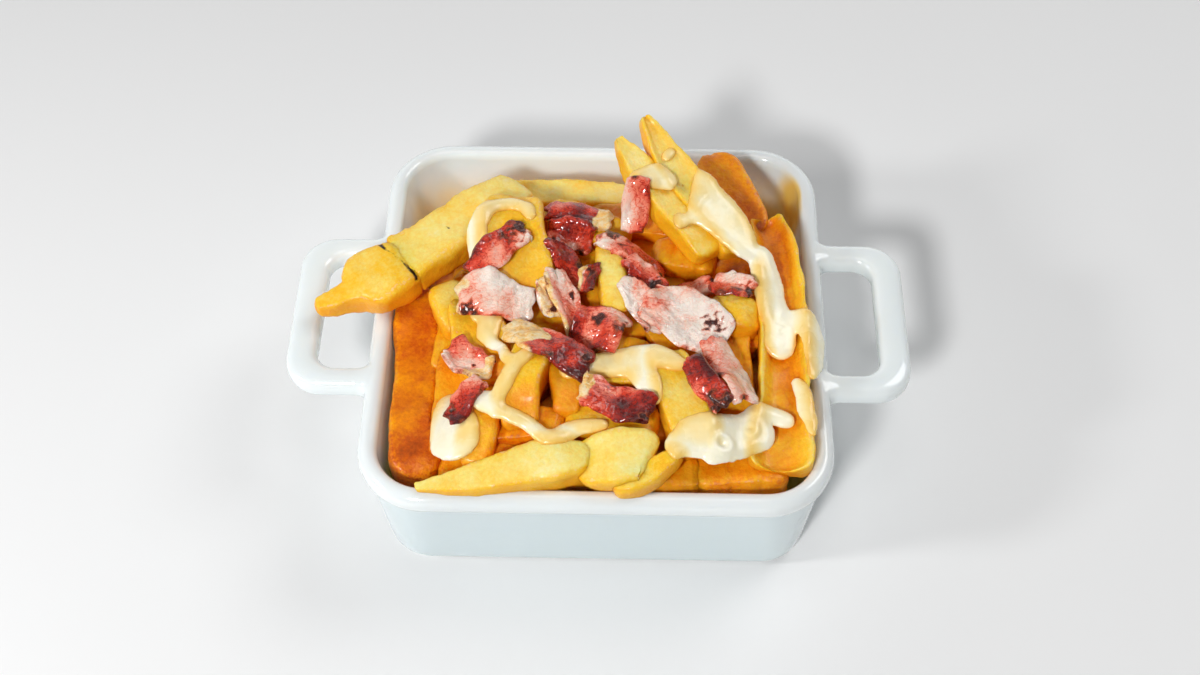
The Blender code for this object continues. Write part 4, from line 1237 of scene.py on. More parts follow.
# %% Lay the hidden fries
HIDDEN_LAYERS = [(27.5, 20), (33.0, 95), (38.0, 160), (41.0, 60)]  # height, and direction in degrees
HIDDEN_HALF = 47.0
HIDDEN_STEP = 15.5
SHORTEST_HIDDEN = 22


def hidden_fries(seed):
    draw = np.random.default_rng(seed)
    laid = []
    for height, turn in HIDDEN_LAYERS:
        for row in np.arange(-HIDDEN_HALF, HIDDEN_HALF + 1, HIDDEN_STEP):
            for part in (-1, 1):
                angle = math.radians(turn + draw.uniform(-16, 16))
                along = np.array((math.cos(angle), math.sin(angle)))
                side = np.array((-along[1], along[0]))
                middle = side * (row + draw.uniform(-3, 3)) + along * part * draw.uniform(20, 27)
                half = along * draw.uniform(18, 25)
                ends = [np.clip(middle + sign * half, -HIDDEN_HALF, HIDDEN_HALF) for sign in (-1, 1)]
                lift = draw.uniform(-2, 2)
                size = draw.uniform(11, 14)
                start, end = ((*ends[0], height - lift), (*ends[1], height + lift))
                laid.append(Bar(start, end, size, size * 0.92, (0, 0, draw.uniform(-1, 1)),
                                draw.uniform(-15, 15), (0.85, 0.85), draw.uniform(0.45, 0.65)))
    return [bar for bar in laid if math.dist(bar.start, bar.end) > SHORTEST_HIDDEN]


hidden = hidden_fries(11)
buried_fries = make_bars("buried_fries", hidden, 120.0, **{"Along Cells": 34, "Across Cells": 9})
print("hidden fries:", len(hidden), "faces:", len(buried_fries.data.polygons))

# %% Heap up the mound
# each: half the side, the corner's radius and the height, in millimetres
MOUND_RINGS = [(53.5, 12, 5.85), (54.5, 16, 11.5), (57, 24, 24), (46, 24, 33), (30, 20, 36)]
MOUND_FLAT_UP_TO = 0.012  # metres


def make_mound():
    """A rough potato mound on the dish's floor, inside the fries."""
    rings = [square_ring(*ring) for ring in smooth_path(MOUND_RINGS, 4)]
    mesh = loft(rings, "heap_core")
    for vertex in mesh.vertices:
        if vertex.co.z > MOUND_FLAT_UP_TO:
            vertex.co.z += noise.noise(vertex.co * 90) * 0.003
    mesh.shade_smooth()
    for title, value in (("tone", 0.7), ("rim", 0.0), ("scorch", 0.0)):
        put_attribute(mesh, title, [value] * len(mesh.vertices))
    mesh.materials.append(fried_potato)
    return new_piece("heap_core", mesh)


heap_core = make_mound()
print("mound faces:", len(heap_core.data.polygons))

# %% [markdown]
# ## Painted shade between the fries
# Where fries close in on a place, the finish paints it deep orange, as shade, and in the open it stays pale.
# The finish needs that as a number for every point. A fan of rays goes up from each point, and the share of
# them that soon meet another fry or the dish is how closed in the point is.


# %% Measure how closed in every point is
def surface_of(pieces):
    """One search tree over several pieces, in metres."""
    points, faces = [], []
    for piece in pieces:
        first = len(points)
        points += [tuple(point) for point in points_of(piece.data)]
        faces += [[first + i for i in face.vertices] for face in piece.data.polygons]
    return BVHTree.FromPolygons(points, faces)


RAY_REACH = 0.016
RAY_START = 0.0006
RAY_TILT = 1.1  # how far a ray goes sideways for each metre up
RAY_TURN = 2.4  # radians from one ray to the next, which spreads any number of them evenly
RAY_COUNT = 5
EVENING_ROUNDS = 6


def mark_closed_in(piece, surface):
    """Stores the share of the rays that meet something near, evened out between neighbours."""
    turns = [RAY_TURN * k for k in range(RAY_COUNT)]
    fan = [Vector((math.cos(turn) * RAY_TILT, math.sin(turn) * RAY_TILT, 1)).normalized() for turn in turns]
    mesh = piece.data
    met = np.zeros(len(mesh.vertices))
    for index, vertex in enumerate(mesh.vertices):
        start = vertex.co + vertex.normal * RAY_START
        met[index] = sum(surface.ray_cast(start, ray, RAY_REACH)[0] is not None for ray in fan) / RAY_COUNT
    ends = np.zeros(len(mesh.edges) * 2, np.int32)
    mesh.edges.foreach_get("vertices", ends)
    first, second = ends.reshape(-1, 2).T
    links = np.bincount(ends, minlength=len(met))
    for _ in range(EVENING_ROUNDS):
        total = np.bincount(first, met[second], len(met)) + np.bincount(second, met[first], len(met))
        met = met * 0.4 + total / np.maximum(links, 1) * 0.6
    # the share is the painted shade that the potato finish reads
    put_attribute(mesh, "crowd", met)
    return met.mean()


fries_and_dish = surface_of([upper_fries, lower_fries, buried_fries, glazed_dish])
for piece in (upper_fries, lower_fries, buried_fries, heap_core):
    print(piece.name, "is closed in by", round(mark_closed_in(piece, fries_and_dish), 2))

# %% [markdown]
# ## Cheese sauce
# The sauce was poured in loops while hot. It lies about two millimetres thick on the fries, hangs a little
# between them, runs down their sides and ends in round drops. Each pour is drawn from above, as a stroke or
# as an outline, dropped onto the fries point by point, and a fluid skin is drawn round all the points.

# %% Draw the pours
# each point of a stroke: x, y and half the width, in millimetres
STROKES = {
    "ring": [
        (-36.6, 7.6, 1.8), (-37.6, 12, 2.8), (-37.5, 17.6, 2.9), (-36.2, 22.6, 2.5), (-33, 26, 2.1),
        (-29, 27.2, 2), (-26, 26.8, 2), (-22.8, 24.8, 1.9), (-21.4, 21.6, 1.2),
    ],
    "forked blob": [(11.6, 34.4, 2.4), (15, 36.2, 3.8), (18.4, 35.8, 3.8), (20.8, 34.2, 2.6)],
    "forked drop": [(20.4, 43.6, 1.5), (21.4, 45, 1.4)],
    "channel": [
        (49.5, 13, 3.8), (51.4, 6, 4.2), (52.6, -2, 4.6), (53.8, -9, 4.8), (54.4, -14.5, 4.8),
        (54.6, -17, 4.6),
    ],
    "centre band": [
        (-8, -31, 2.6), (-1, -28, 3.6), (6, -27, 4.8), (13, -26.2, 5.2), (19, -26.4, 4), (25, -28.6, 2.2),
    ],
    "centre lobe": [(12.4, -29, 4.6), (15.2, -34.5, 3.4), (16.8, -40, 2.4)],
    "roll": [(46.6, -44.4, 2), (48.8, -41.4, 3), (52.4, -41.8, 2.6), (55.6, -43, 2)],
    "knot": [(-33.6, -41.4, 2.6), (-31.4, -42.6, 3.4), (-29, -43.8, 2.9)],
    "drizzle": [
        (-29.1, -44.8, 2.4), (-24.5, -46, 2.1), (-20.4, -47.6, 1.9), (-15.6, -51.4, 2.2),
        (-11.6, -52, 2.6), (-6, -49, 2.7), (1.6, -47.6, 1.5),
    ],
    "stub ridge": [
        (-29.1, -45.4, 2), (-28.1, -39.9, 2), (-25.4, -34.8, 2.1), (-22.6, -30.2, 2.1), (-20, -27.2, 1.6),
    ],
    "string": [
        (-33.4, -16, 2.8), (-31.4, -20.7, 2), (-28.2, -24.4, 1.5), (-26, -29.6, 1.5), (-21.5, -29.2, 1.6),
    ],
    "broad": [(-35.4, -10.6, 2.6), (-32.6, -12, 3.6), (-33, -17.5, 3.2)],
    "spill": [
        (55.4, -8, 2.8), (60.5, -8.6, 3.4), (63.6, -12, 3.5), (64.8, -18.5, 3.1), (64.4, -24.4, 2.3),
        (63.8, -29, 1.1),
    ],
    "side strip": [
        (59.2, -30.5, 1.3), (60.4, -35, 2.1), (61.4, -39.5, 2.3), (62.2, -44, 1.9), (62.8, -48, 1.1),
    ],
}
# closed, each point of an outline: x and y
OUTLINES = {
    "forked sheet": [
        (30.2, 40.6), (33.8, 38.8), (38.8, 33.6), (43.4, 28.2), (46.8, 22), (49.2, 14.8), (51.2, 11),
        (46.8, 10.8), (42.4, 12.4), (38.2, 15.8), (32.9, 19.4), (28.8, 21.8), (26, 20), (24, 19),
        (22.4, 21.4), (23.4, 24.2), (27, 25), (27.4, 29), (28.6, 35),
    ],
    "low blob": [
        (20.4, -56), (21.2, -51.6), (24, -48.4), (28, -45.8), (33.5, -44.4), (38, -43.2), (42.5, -41.6),
        (45.6, -39.4), (48.6, -39.2), (50.8, -43.5), (51.6, -48.5), (50.4, -52.6), (45.8, -54.6),
        (40.5, -57.4), (36, -59.2), (32.8, -60), (30.6, -58.2), (26.4, -58.2), (22.6, -59.4),
    ],
    "left blob": [
        (-43.6, -32.6), (-46.2, -34.4), (-47.8, -38.5), (-48, -48), (-46.8, -53.8), (-44, -57.2),
        (-41, -58), (-38, -57.4), (-35, -55.4), (-33.4, -51), (-34.4, -46.2), (-38, -42.4), (-40.6, -38.2),
        (-41.8, -34.4),
    ],
}
# bubbles that burst: x, y, radius and depth, in millimetres
CRATERS = [(36.2, -54, 2, 1.3), (44.8, -47.6, 1.3, 1), (39.4, -57.4, 1, 0.8), (54.4, -12.5, 0.9, 0.7),
           (-37.2, 20, 0.8, 0.5)]
print("strokes, outlines and bubbles:", len(STROKES), len(OUTLINES), len(CRATERS))

# %% Lay the pours on a grid
CELL = 0.6
GRID_HALF = 75
FAR = 99.0
EDGE_RIPPLE = 0.7


def poured_cells():
    """The grid cells that sauce covers, each with its distance in from the sauce's edge."""
    axis = (np.arange(round(2 * GRID_HALF / CELL)) + 0.5) * CELL - GRID_HALF
    grid_x, grid_y = np.meshgrid(axis, axis, indexing="ij")
    depth = np.full(grid_x.shape, -FAR)
    for points in STROKES.values():
        for x, y, half in smooth_path(points, 8):
            depth = np.maximum(depth, half - np.hypot(grid_x - x, grid_y - y))
    for points in OUTLINES.values():
        edge = np.array(smooth_path(points + points[:1], 6))
        near = np.full(grid_x.shape, FAR)
        inside = np.zeros(grid_x.shape, bool)
        for (x0, y0), (x1, y1) in zip(edge, edge[1:]):
            near = np.minimum(near, np.hypot(grid_x - x0, grid_y - y0))
            if y0 != y1:
                crosses = (grid_y > min(y0, y1)) & (grid_y <= max(y0, y1))
                inside ^= crosses & (grid_x < x0 + (grid_y - y0) * (x1 - x0) / (y1 - y0))
        depth = np.maximum(depth, np.where(inside, near, -near))
    ripple = np.array([noise.noise(Vector((x / 5, y / 5, 3.3))) for x, y in zip(grid_x.flat, grid_y.flat)])
    return grid_x, grid_y, depth + ripple.reshape(depth.shape) * EDGE_RIPPLE


grid_x, grid_y, depth = poured_cells()
print("cells under sauce:", int((depth > 0).sum()), "of", depth.size)

# %% Drop the sauce on the fries
HANG = 1.5  # how far the sauce sags where nothing holds it up
HANG_REACH = 5.4
SETTLING_ROUNDS = 70
ABOVE_ALL = 0.2  # metres


def height_over(surface, x, y):
    """The height of a surface at one place, in metres."""
    hit = surface.ray_cast(Vector((x, y, ABOVE_ALL)), Vector((0, 0, -1)))[0]
    return hit.z if hit else 0.0


def beside(values, step=1):
    """The values of the eight cells around each cell, a number of steps away."""
    shifts = [(i * step, j * step) for i in (-1, 0, 1) for j in (-1, 0, 1) if i or j]
    return np.array([np.roll(values, shift, axis=(0, 1)) for shift in shifts])


def settled(bare, covered):
    """Lifts the sauce over narrow gaps, then lets it flow smooth without sinking into what it lies on."""
    bare = np.where(covered, bare, -FAR)
    held = np.maximum(bare, beside(bare, round(HANG_REACH / CELL)).max(axis=0) - HANG)
    count = np.maximum(beside(covered).sum(axis=0), 1)
    for _ in range(SETTLING_ROUNDS):
        level = (beside(held) * beside(covered)).sum(axis=0) / count
        held = np.where(covered, np.maximum(bare, held * 0.3 + level * 0.7), 0.0)
    return held


print("the sauce spans gaps of up to", 2 * HANG_REACH, "mm")


# %% Make points for the fluid skin
def dropped_points(surface):
    """Points on the fries under every cell, with more of them down the steep sides."""
    covered = depth > 0
    bare = np.zeros(depth.shape)
    for i, j in zip(*np.nonzero(covered)):
        bare[i, j] = height_over(surface, grid_x[i, j] * MM, grid_y[i, j] * MM) / MM
    held = settled(bare, covered)
    for x, y, radius, dip in CRATERS:
        away = np.hypot(grid_x - x, grid_y - y) / radius
        held = held - dip * np.clip(1 - away ** 4, 0, 1) + dip * 0.5 * np.exp(-((away - 1.25) / 0.22) ** 2)
    swell = np.minimum(1.25, 0.5 + depth * 0.32)
    points = []
    for i, j in zip(*np.nonzero(covered)):
        here = np.array((grid_x[i, j], grid_y[i, j], held[i, j]))
        points.append((*here, swell[i, j]))
        for near in ((i + 1, j), (i, j + 1)):
            if covered[near]:
                there = np.array((grid_x[near], grid_y[near], held[near]))
                extra = int(np.linalg.norm(there - here) / CELL)
                share = min(swell[i, j], 0.85)
                points += [(*(here + (there - here) * k / (extra + 1)), share) for k in range(1, extra + 1)]
    return np.array(points)


sauce_points = dropped_points(fries_and_dish)
print("sauce points:", len(sauce_points), "highest, mm:", round(float(sauce_points[:, 2].max()), 1))


# %% [markdown]
# ## The sauce's finish
# Cheese sauce is cream where it is thick and lets the fries' gold shine through where it is thin. A truly
# see-through skin would be slow to render, so the thickness over the fries is measured for every point and
# stored, and the colour runs from caramel to cream over it.

# %% The cheese sauce material
CHEESE = [(0.0, (246, 182, 72)), (0.3, (252, 210, 118)), (0.58, (255, 228, 162)), (0.8, (255, 240, 198)),
          (1.0, (255, 248, 222))]


def cheese_finish():
    made, tree, shader = new_material("cheese sauce")
    where = object_place(tree)
    clouds, grain = mottled(tree, where, 130.0, 1400.0, 1.0)
    thick = shader_attribute(tree, "thick") + clouds * 0.35
    set_sockets(tree, shader, Base_Color=ramp(tree, thick, CHEESE), Roughness=clouds * 0.16 + 0.27,
                Normal=bumps(tree, clouds + grain * 0.05, 0.0006, 0.4),
                Subsurface_Weight=0.3, Subsurface_Radius=(1.0, 0.9, 0.6), Subsurface_Scale=0.0022,
                Coat_Weight=0.35, Coat_Roughness=0.12)
    return made


cheese_sauce = cheese_finish()
print("cheese sauce nodes:", len(cheese_sauce.node_tree.nodes))


# %% Draw a fluid skin round the points
def fluid_tree(finish):
    tree, given = new_tree("fluid skin", {"Point Radius": 0.0013, "Grain": 0.00045, "Softness": 5})
    swollen = given["Point Radius"] * attribute(tree, "swell")
    dots = add(tree, "GeometryNodeMeshToPoints", Mesh=given["Mesh"], Radius=swollen)
    cloud = add(tree, "GeometryNodePointsToVolume", settings={"resolution_mode": "VOXEL_SIZE"},
                Points=dots, Density=1.0, Voxel_Size=given["Grain"], Radius=swollen)
    skin = add(tree, "GeometryNodeVolumeToMesh", Volume=cloud, Threshold=0.1)
    evened = add(tree, "GeometryNodeBlurAttribute", settings={"data_type": "FLOAT_VECTOR"},
                 Value=add(tree, "GeometryNodeInputPosition"), Iterations=given["Softness"])
    soft = add(tree, "GeometryNodeSetPosition", Geometry=skin, Position=evened)
    end_tree(tree, soft, finish)
    return tree


def pour(name, points):
    """One skin of sauce round points that are given in millimetres, each with its swell."""
    mesh = bpy.data.meshes.new(name)
    mesh.vertices.add(len(points))
    mesh.vertices.foreach_set("co", (points[:, :3] * MM).ravel())
    put_attribute(mesh, "swell", points[:, 3])
    piece = grow(name, fluid_skin, mesh)
    drop_attributes(piece.data, ())
    return piece


def mark_thickness(piece, surface):
    """Stores how thick the sauce is over the fries, 1 where nothing shines through."""
    near = [surface.find_nearest(vertex.co)[3] / MM for vertex in piece.data.vertices]
    put_attribute(piece.data, "thick", np.clip(np.array(near) / FULL_DEPTH, 0, 1))


FULL_DEPTH = 3.3  # sauce this thick hides what is under it
fluid_skin = fluid_tree(cheese_sauce)
sauce = pour("cheese_sauce", sauce_points)
mark_thickness(sauce, fries_and_dish)
print("sauce faces:", len(sauce.data.polygons))

# %% [markdown]
# ## Fried bacon
# Back bacon was cut in rough pieces and fried: the lean went from pink to dark red, the fat turned cream and
# then gold, and thin edges charred. Each piece is a thin sheet that curls and drapes over what lies under
# it. The sheets are grids of points bent by a formula, laid down one after another in the packed model's
# order, and every point also stores how red, how fat and how charred the meat is there.

# %% List the pieces of bacon
# middle, length, width and curl in millimetres; turn, tilt and roll in degrees; red: how red its lean is;
# fat and ends: how far fat reaches in from one side and from one end, the other one where it is negative;
# chars: blackened places, each with its place along and across, from -1 to 1, and its size
Rasher = namedtuple("Rasher", "middle length width turn tilt roll curl seed red fat ends chars")
RASHERS = [Rasher(*row) for row in (
    ((-7, 29, 58), 21, 9, -8, 0, -15, 2, 3, 0.76, 0, 0.55, [(-0.6, 0.8, 0.3)]),
    ((-9, 21, 60), 15, 10, -15, 0, 10, 3, 4, 0.58, 0, 0, [(0.5, -0.9, 0.4), (-0.7, -0.6, 0.3)]),
    ((-10, 8, 60), 17, 8, -50, 5, 10, 2.5, 8, 0.74, 0, 0, [(0.3, 0.9, 0.5)]),
    ((-3, 3, 61), 10, 7, 75, 0, 0, 2, 9, 0.60, 0.22, 0, [(0.1, -0.2, 0.6)]),
    ((11, 28, 60), 13, 9, 80, 20, 0, 1, 6, 0.42, 0, 0, [(1, 0.3, 0.25)]),
    ((9, 13, 61), 22, 9, -25, 0, 15, 3, 7, 0.42, 0, 0, [(-0.65, 0.6, 0.9), (0.9, 0.2, 0.3)]),
    ((14, 4, 61), 15, 8, -40, 0, 10, 2, 16, 0.70, 0, 0, [(0.4, 0.2, 0.5)]),
    ((-31, 9, 63), 23, 11, 42, 8, 0, 1.5, 1, 0.56, 0, 0, [(1, 0.1, 1.4)]),
    ((-31, -6, 61), 24, 13, -8, 0, 10, 2, 2, 0.20, 0, -0.14, [(-0.6, -0.85, 0.6)]),
    ((-15, -5, 60), 13, 7, -70, 0, 0, 2, 11, 0.30, 0.95, 0, [(0.6, 0, 0.45), (-0.4, 0.3, 0.3)]),
    ((-15, -24, 61), 31, 11, -31, 5, 5, 2.5, 13, 0.68, 0, -0.85, [(0.8, 0.5, 0.4), (0.2, -0.8, 0.3)]),
    ((-9, -8, 61), 26, 9, -63, 0, 0, 2.5, 10, 0.46, -0.08, 0, [(-0.3, 0.6, 0.3), (0.6, -0.2, 0.3)]),
    ((0, -15, 62), 17, 14, -25, 0, 0, 4, 12, 0.58, 0, 0, [(0, 0.3, 0.5), (0.9, 0.2, 0.5)]),
    ((13, -7, 61), 18, 10, -55, 0, 5, 2, 14, 0.22, 0, 0, [(0.7, 0.8, 0.3)]),
    ((29, 6, 60), 14, 8, 12, 0, 0, 2, 18, 0.50, 0, 0, [(1, 0.2, 0.45), (-0.8, 0.7, 0.3)]),
    ((41, 3, 59), 14, 11, -30, 0, 10, 2.5, 19, 0.40, 0, 0, [(0.9, -0.3, 1)]),
    ((26, -11, 63), 28, 19, -28, 6, 0, 2.5, 15, 0.08, 0, 0, [(0.55, 0.35, 0.8)]),
    ((32, -36, 59), 20, 9, -60, 0, 30, 1.5, 21, 0.74, 0, 0, [(0.9, 0, 1.1)]),
    ((39, -30, 60), 25, 10, -65, 0, -20, 2, 22, 0.26, 0, 0, [(1, -0.4, 0.35), (0.2, -0.95, 0.35)]),
    ((6, -41, 57), 22, 12, -20, 0, -10, 2, 23, 0.74, 0, -0.16, [(0.9, -0.6, 0.4), (-0.3, 0.8, 0.35)]),
    ((-38, -28, 57), 16, 12, -35, 0, -10, 2.5, 24, 0.34, 0, 0.5, [(0.2, 0.1, 0.25)]),
    ((-38, -42, 55), 16, 8, 58, 0, 0, 1.5, 25, 0.66, 0, 0, [(-0.5, 0.5, 0.3)]),
)]
print("bacon pieces listed:", len(RASHERS))

# %% Cut one sheet
END_RAGGED = 0.20
SIDE_RAGGED = 0.30
END_NARROWING = 0.18
CORNER_ROUNDING = 0.10
TORN = 0.16


def noise_grid(grid_a, grid_b, third):
    values = [noise.noise(Vector((a, b, third))) for a, b in zip(grid_a.flat, grid_b.flat)]
    return np.array(values).reshape(grid_a.shape)


def cut_sheet(rasher, columns, rows):
    """The flat place and the rise of every grid point of a piece, torn at its edges."""
    u, v = np.meshgrid(np.linspace(-1, 1, columns + 1), np.linspace(-1, 1, rows + 1), indexing="ij")
    ragged = noise_grid(u * 1.7, v * 1.7, rasher.seed * 3.1)
    frayed = noise_grid(v * 1.9, u * 1.9, rasher.seed * 5.3 + 9)
    x = rasher.length / 2 * u * (1 + END_RAGGED * ragged * np.abs(u))
    y = rasher.width / 2 * v * (1 + SIDE_RAGGED * frayed * np.abs(v)) * (1 - END_NARROWING * u * u)
    corner = 1 - CORNER_ROUNDING * (u * v) ** 4
    x, y = x * corner, y * corner
    torn = noise_grid(x / 1.6, y / 1.6, rasher.seed * 2.3) * TORN
    x = x + torn * np.abs(u) ** 6
    y = y + torn * np.abs(v) ** 6
    cup = rasher.curl * (v * v - 0.35) * math.cos(rasher.seed * 1.3)
    wave = rasher.curl * 0.5 * np.sin(2.6 * u + rasher.seed)
    ripple = rasher.curl * 0.35 * noise_grid(u * 1.4, v * 1.4, rasher.seed * 7.7)
    return u, v, np.stack([x, y, cup + wave + ripple], axis=-1)


def placed(rasher, flat):
    """The sheet tilted, rolled and turned, at its place."""
    turn = Matrix.Rotation(math.radians(rasher.turn), 3, "Z")
    tilt = Matrix.Rotation(math.radians(-rasher.tilt), 3, "Y")
    roll = Matrix.Rotation(math.radians(rasher.roll), 3, "X")
    return flat @ np.array(turn @ tilt @ roll).T + rasher.middle


print("points of a coarse sheet:", cut_sheet(RASHERS[0], 4, 2)[0].size)

# %% Let a sheet sag on what lies under it
BACON_GAP = 0.3
BACON_CELL = 0.4
SAG_SHARE = 0.45  # this share of a sheet would lie lower than what is under it, and is bent up
COARSE_STEP = 5
COARSE_ROUNDS = 60
FINE_ROUNDS = 14


def spread(values):
    """Each point's value averaged with its neighbours' in the grid."""
    wide = np.pad(values, 1, mode="edge")
    return (wide[:-2, 1:-1] + wide[2:, 1:-1] + wide[1:-1, :-2] + wide[1:-1, 2:]) / 4


def floor_under(sheet, surfaces):
    """The height in millimetres of what lies under every point of a sheet."""
    places = sheet.reshape(-1, 3) * MM
    heights = [max(height_over(each, x, y) for each in surfaces) / MM for x, y, _ in places]
    return np.array(heights).reshape(sheet.shape[:2]) + BACON_GAP


def lay_down(sheet, surfaces):
    """Sinks the sheet and bends it until it rests. The coarse points settle first, then all of them."""
    floor = floor_under(sheet, surfaces)
    gaps = sheet[..., 2] - floor
    drop = np.sort(gaps.ravel())[int(SAG_SHARE * gaps.size)]
    rest = sheet[..., 2] - drop
    coarse = (slice(None, None, COARSE_STEP),) * 2
    coarse_rest, coarse_floor = rest[coarse], floor[coarse]
    bend = np.zeros(coarse_rest.shape)
    for _ in range(COARSE_ROUNDS):
        bend = bend + 0.5 * (spread(bend) - bend)
        bend = np.maximum(bend, coarse_floor - coarse_rest)
    rows = np.linspace(0, bend.shape[0] - 1, rest.shape[0])
    columns = np.linspace(0, bend.shape[1] - 1, rest.shape[1])
    along = np.array([np.interp(rows, range(bend.shape[0]), column) for column in bend.T]).T
    fine = np.array([np.interp(columns, range(bend.shape[1]), row) for row in along])
    for _ in range(FINE_ROUNDS):
        fine = fine + 0.6 * (spread(fine) - fine)
        fine = np.maximum(fine, floor - rest)
    sheet[..., 2] = rest + fine
    return sheet


print("coarse points across a 12 mm sheet:", round(12 / BACON_CELL / COARSE_STEP) + 1)


# %% Mark the lean, the fat and the char
def meat_maps(rasher, u, v, sheet):
    """How red, how fat and how charred every point is, 0 to 1."""
    x, y = sheet[..., 0], sheet[..., 1]
    drift = noise_grid(x / 5, y / 5, rasher.seed)
    speck = noise_grid(x / 1.3, y / 1.3, rasher.seed + 4.4)
    across = u * math.cos(rasher.seed * 1.9) + v * math.sin(rasher.seed * 1.9)
    red = rasher.red + 0.26 * across + 0.35 * drift
    side = np.sign(rasher.fat) * v + 0.35 * drift
    fat = np.clip((side - (1 - 2 * abs(rasher.fat))) * 3 + 0.5, 0, 1) * (rasher.fat != 0)
    end = np.sign(rasher.ends) * u + 0.5 * drift
    fat_end = np.clip((end - (1 - abs(rasher.ends))) * 3 + 0.5, 0, 1) * (rasher.ends != 0)
    char = np.zeros(u.shape)
    for place_u, place_v, size in rasher.chars:
        away = np.hypot((u - place_u) * rasher.length, (v - place_v) * rasher.width) / 2
        char = np.maximum(char, 1.05 - away / (size * 5) + 1.0 * speck + 0.2 * drift)
    rim = np.maximum(np.abs(u), np.abs(v)) ** 10
    char = np.maximum(char, rim * (0.05 + 0.8 * drift + 0.5 * speck))
    return red, np.maximum(fat, fat_end), np.clip(char, 0, 1)


print("pieces with fat at a side:", sum(rasher.fat != 0 for rasher in RASHERS))

# %% Give the sheet its thickness and its crinkles
BACON_THICKNESS = 1.7


def sheet_normals(sheet):
    along = np.gradient(sheet, axis=0)
    across = np.gradient(sheet, axis=1)
    normals = np.cross(along, across)
    return normals / np.linalg.norm(normals, axis=-1, keepdims=True)


def thicken(name, sheet, u, v, maps, rasher):
    """Closes a sheet into a thin piece whose edges are round and whose faces are crinkled."""
    red, fat, char = maps
    x, y = sheet[..., 0], sheet[..., 1]
    crinkle = 0.55 * noise_grid(x / 2.6, y / 3.4, rasher.seed + 2) + 0.22 * noise_grid(x / 0.9, y / 1.2, 5.0)
    crinkle = crinkle + 0.5 * char * noise_grid(x / 1.2, y / 1.2, rasher.seed + 11)
    froth = 0.12 * np.abs(noise_grid(x / 1.8, y / 1.8, rasher.seed + 6))
    edge = np.maximum(np.abs(u), np.abs(v))
    plump = BACON_THICKNESS * (1 - 0.6 * edge ** 18)
    normals = sheet_normals(sheet)
    top = sheet + normals * (plump + np.maximum(crinkle, -0.3) + froth * fat)[..., None]
    low = sheet + normals * (BACON_THICKNESS - plump)[..., None] * 0.5
    columns, rows = u.shape
    points = np.concatenate([low.reshape(-1, 3), top.reshape(-1, 3)]) * MM
    index = np.arange(columns * rows).reshape(columns, rows)
    quads = np.stack([index[:-1, :-1], index[1:, :-1], index[1:, 1:], index[:-1, 1:]], axis=-1).reshape(-1, 4)
    upper = quads + columns * rows
    ring = np.concatenate([index[:-1, 0], index[-1, :-1], index[:0:-1, -1], index[0, :0:-1]])
    after = np.roll(ring, -1)
    wall = np.stack([ring, after, after + columns * rows, ring + columns * rows], axis=-1)
    faces = np.concatenate([quads[:, ::-1], upper, wall])
    mesh = bpy.data.meshes.new(name)
    mesh.from_pydata(points.tolist(), [], faces.tolist())
    for title, values in (("red", red), ("fat", fat), ("char", char)):
        put_attribute(mesh, title, np.tile(values.ravel(), 2))
    mesh.shade_smooth()
    return mesh


print("bacon is", BACON_THICKNESS, "mm thick")

# %% [markdown]
# ## Fried bacon, the finish
# Lean is pink to dark red and marbled, fat is cream to gold, and spots brown and then blacken. Pale streaks on
# the lean are painted white glints, and the wrinkles are painted redder, as shade in their creases. It is all
# wet with fat. Colour comes from the three numbers that every point stores, each roughened by the mottle and by
# a finer speck, and a coat gives the wet shine.

# %% The fried bacon material
LEAN = [(0.05, (255, 236, 222)), (0.30, (255, 200, 178)), (0.50, (250, 134, 104)), (0.66, (222, 62, 34)),
        (0.84, (150, 24, 12)), (1.0, (80, 8, 8))]
FAT = [(0.2, (232, 146, 44)), (0.42, (253, 204, 118)), (0.65, (255, 232, 188))]
CHARRED = [(0.3, (20, 8, 6)), (0.62, (84, 26, 14)), (0.8, (190, 90, 50))]
BROWNED = (178, 82, 46)
# painted highlight: white of the glints on the lean
GLINT_WHITE = (255, 244, 236)


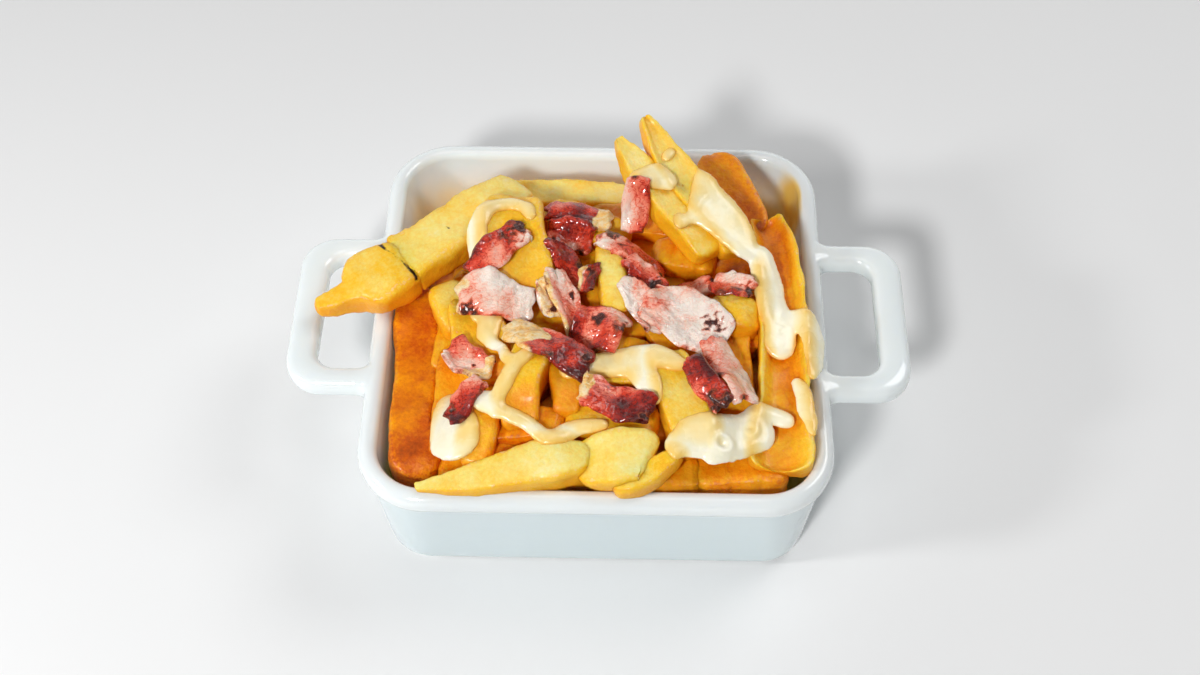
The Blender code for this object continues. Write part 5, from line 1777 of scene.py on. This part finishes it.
def bacon_finish():
    made, tree, shader = new_material("fried bacon")
    where = object_place(tree)
    clouds, fibre = mottled(tree, where * (1.0, 1.5, 1.0), 210.0, 850.0)
    speck = waves(tree, where, 2600.0, 2.0, 0.6) - 0.5
    wrinkle = 1 - (waves(tree, where * (1.0, 1.6, 1.0), 420.0, 2.0, 0.5) - 0.5).size().smooth(0.0, 0.05)
    char = shader_attribute(tree, "char")
    red = shader_attribute(tree, "red") + clouds * 0.25 + fibre * 0.35
    # painted shade: redder along the wrinkles, whose creases the bump also sinks
    red = red + wrinkle * 0.15 + char.smooth(0.0, 0.45) * 0.25
    lean = ramp(tree, red, LEAN)
    fat_mask = (shader_attribute(tree, "fat") + clouds * 0.5 + fibre * 0.4).smooth(0.38, 0.68)
    fat = ramp(tree, fibre * 0.6 + clouds * 0.9 + 0.5, FAT)
    char_mask = (char + speck * 1.1).smooth(0.42, 0.66)
    meat_browned = (char + speck * 0.8).smooth(0.05, 0.5) * 0.7
    charred = ramp(tree, speck + 0.5, CHARRED)
    # painted highlight: white glints on the paler lean
    froth = (fibre + speck * 0.6 - red * 0.3).smooth(-0.06, 0.14) * (1 - red.smooth(0.35, 0.85)) * 0.42
    meat = mixed(tree, froth, mixed(tree, fat_mask, lean, fat), screen(*GLINT_WHITE))
    browned = mixed(tree, meat_browned, meat, screen(*BROWNED))
    height = fibre * 0.8 + speck * 0.7 + clouds * 0.5 - wrinkle * 0.25
    set_sockets(tree, shader, Base_Color=mixed(tree, char_mask, browned, charred),
                Roughness=fibre * 0.3 + char_mask * 0.1 + 0.30, Normal=bumps(tree, height, 0.0007, 0.6),
                Subsurface_Weight=0.2, Subsurface_Radius=(1.0, 0.4, 0.28), Subsurface_Scale=0.0015,
                Specular_IOR_Level=0.3, Coat_Weight=0.7 - char_mask * 0.2, Coat_Roughness=0.09)
    return made


fried_bacon = bacon_finish()
print("fried bacon nodes:", len(fried_bacon.node_tree.nodes))


# %% Lay the bacon piece by piece
def make_bacon(surfaces):
    laid = []
    for number, rasher in enumerate(RASHERS, 1):
        columns = COARSE_STEP * max(3, round(rasher.length / BACON_CELL / COARSE_STEP))
        rows = COARSE_STEP * max(2, round(rasher.width / BACON_CELL / COARSE_STEP))
        u, v, flat = cut_sheet(rasher, columns, rows)
        sheet = lay_down(placed(rasher, flat), surfaces + [surface_of([piece]) for piece in laid])
        name = f"bacon_piece_{number:02d}"
        piece = new_piece(name, thicken(name, sheet, u, v, meat_maps(rasher, u, v, sheet), rasher))
        piece.data.materials.append(fried_bacon)
        laid.append(piece)
    return laid


bacon = make_bacon([fries_and_dish, surface_of([sauce])])
print("bacon faces:", sum(len(piece.data.polygons) for piece in bacon))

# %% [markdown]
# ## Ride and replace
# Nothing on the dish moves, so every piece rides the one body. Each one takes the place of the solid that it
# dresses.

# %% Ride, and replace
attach(glazed_dish, "root")
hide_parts("dish")
for piece in (upper_fries, lower_fries, buried_fries, heap_core):
    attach(piece, "root")
    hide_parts("fries")
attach(sauce, "root")
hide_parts("fries")
for number, piece in enumerate(bacon, 1):
    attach(piece, "root")
    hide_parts(f"bacon_{number:02d}")
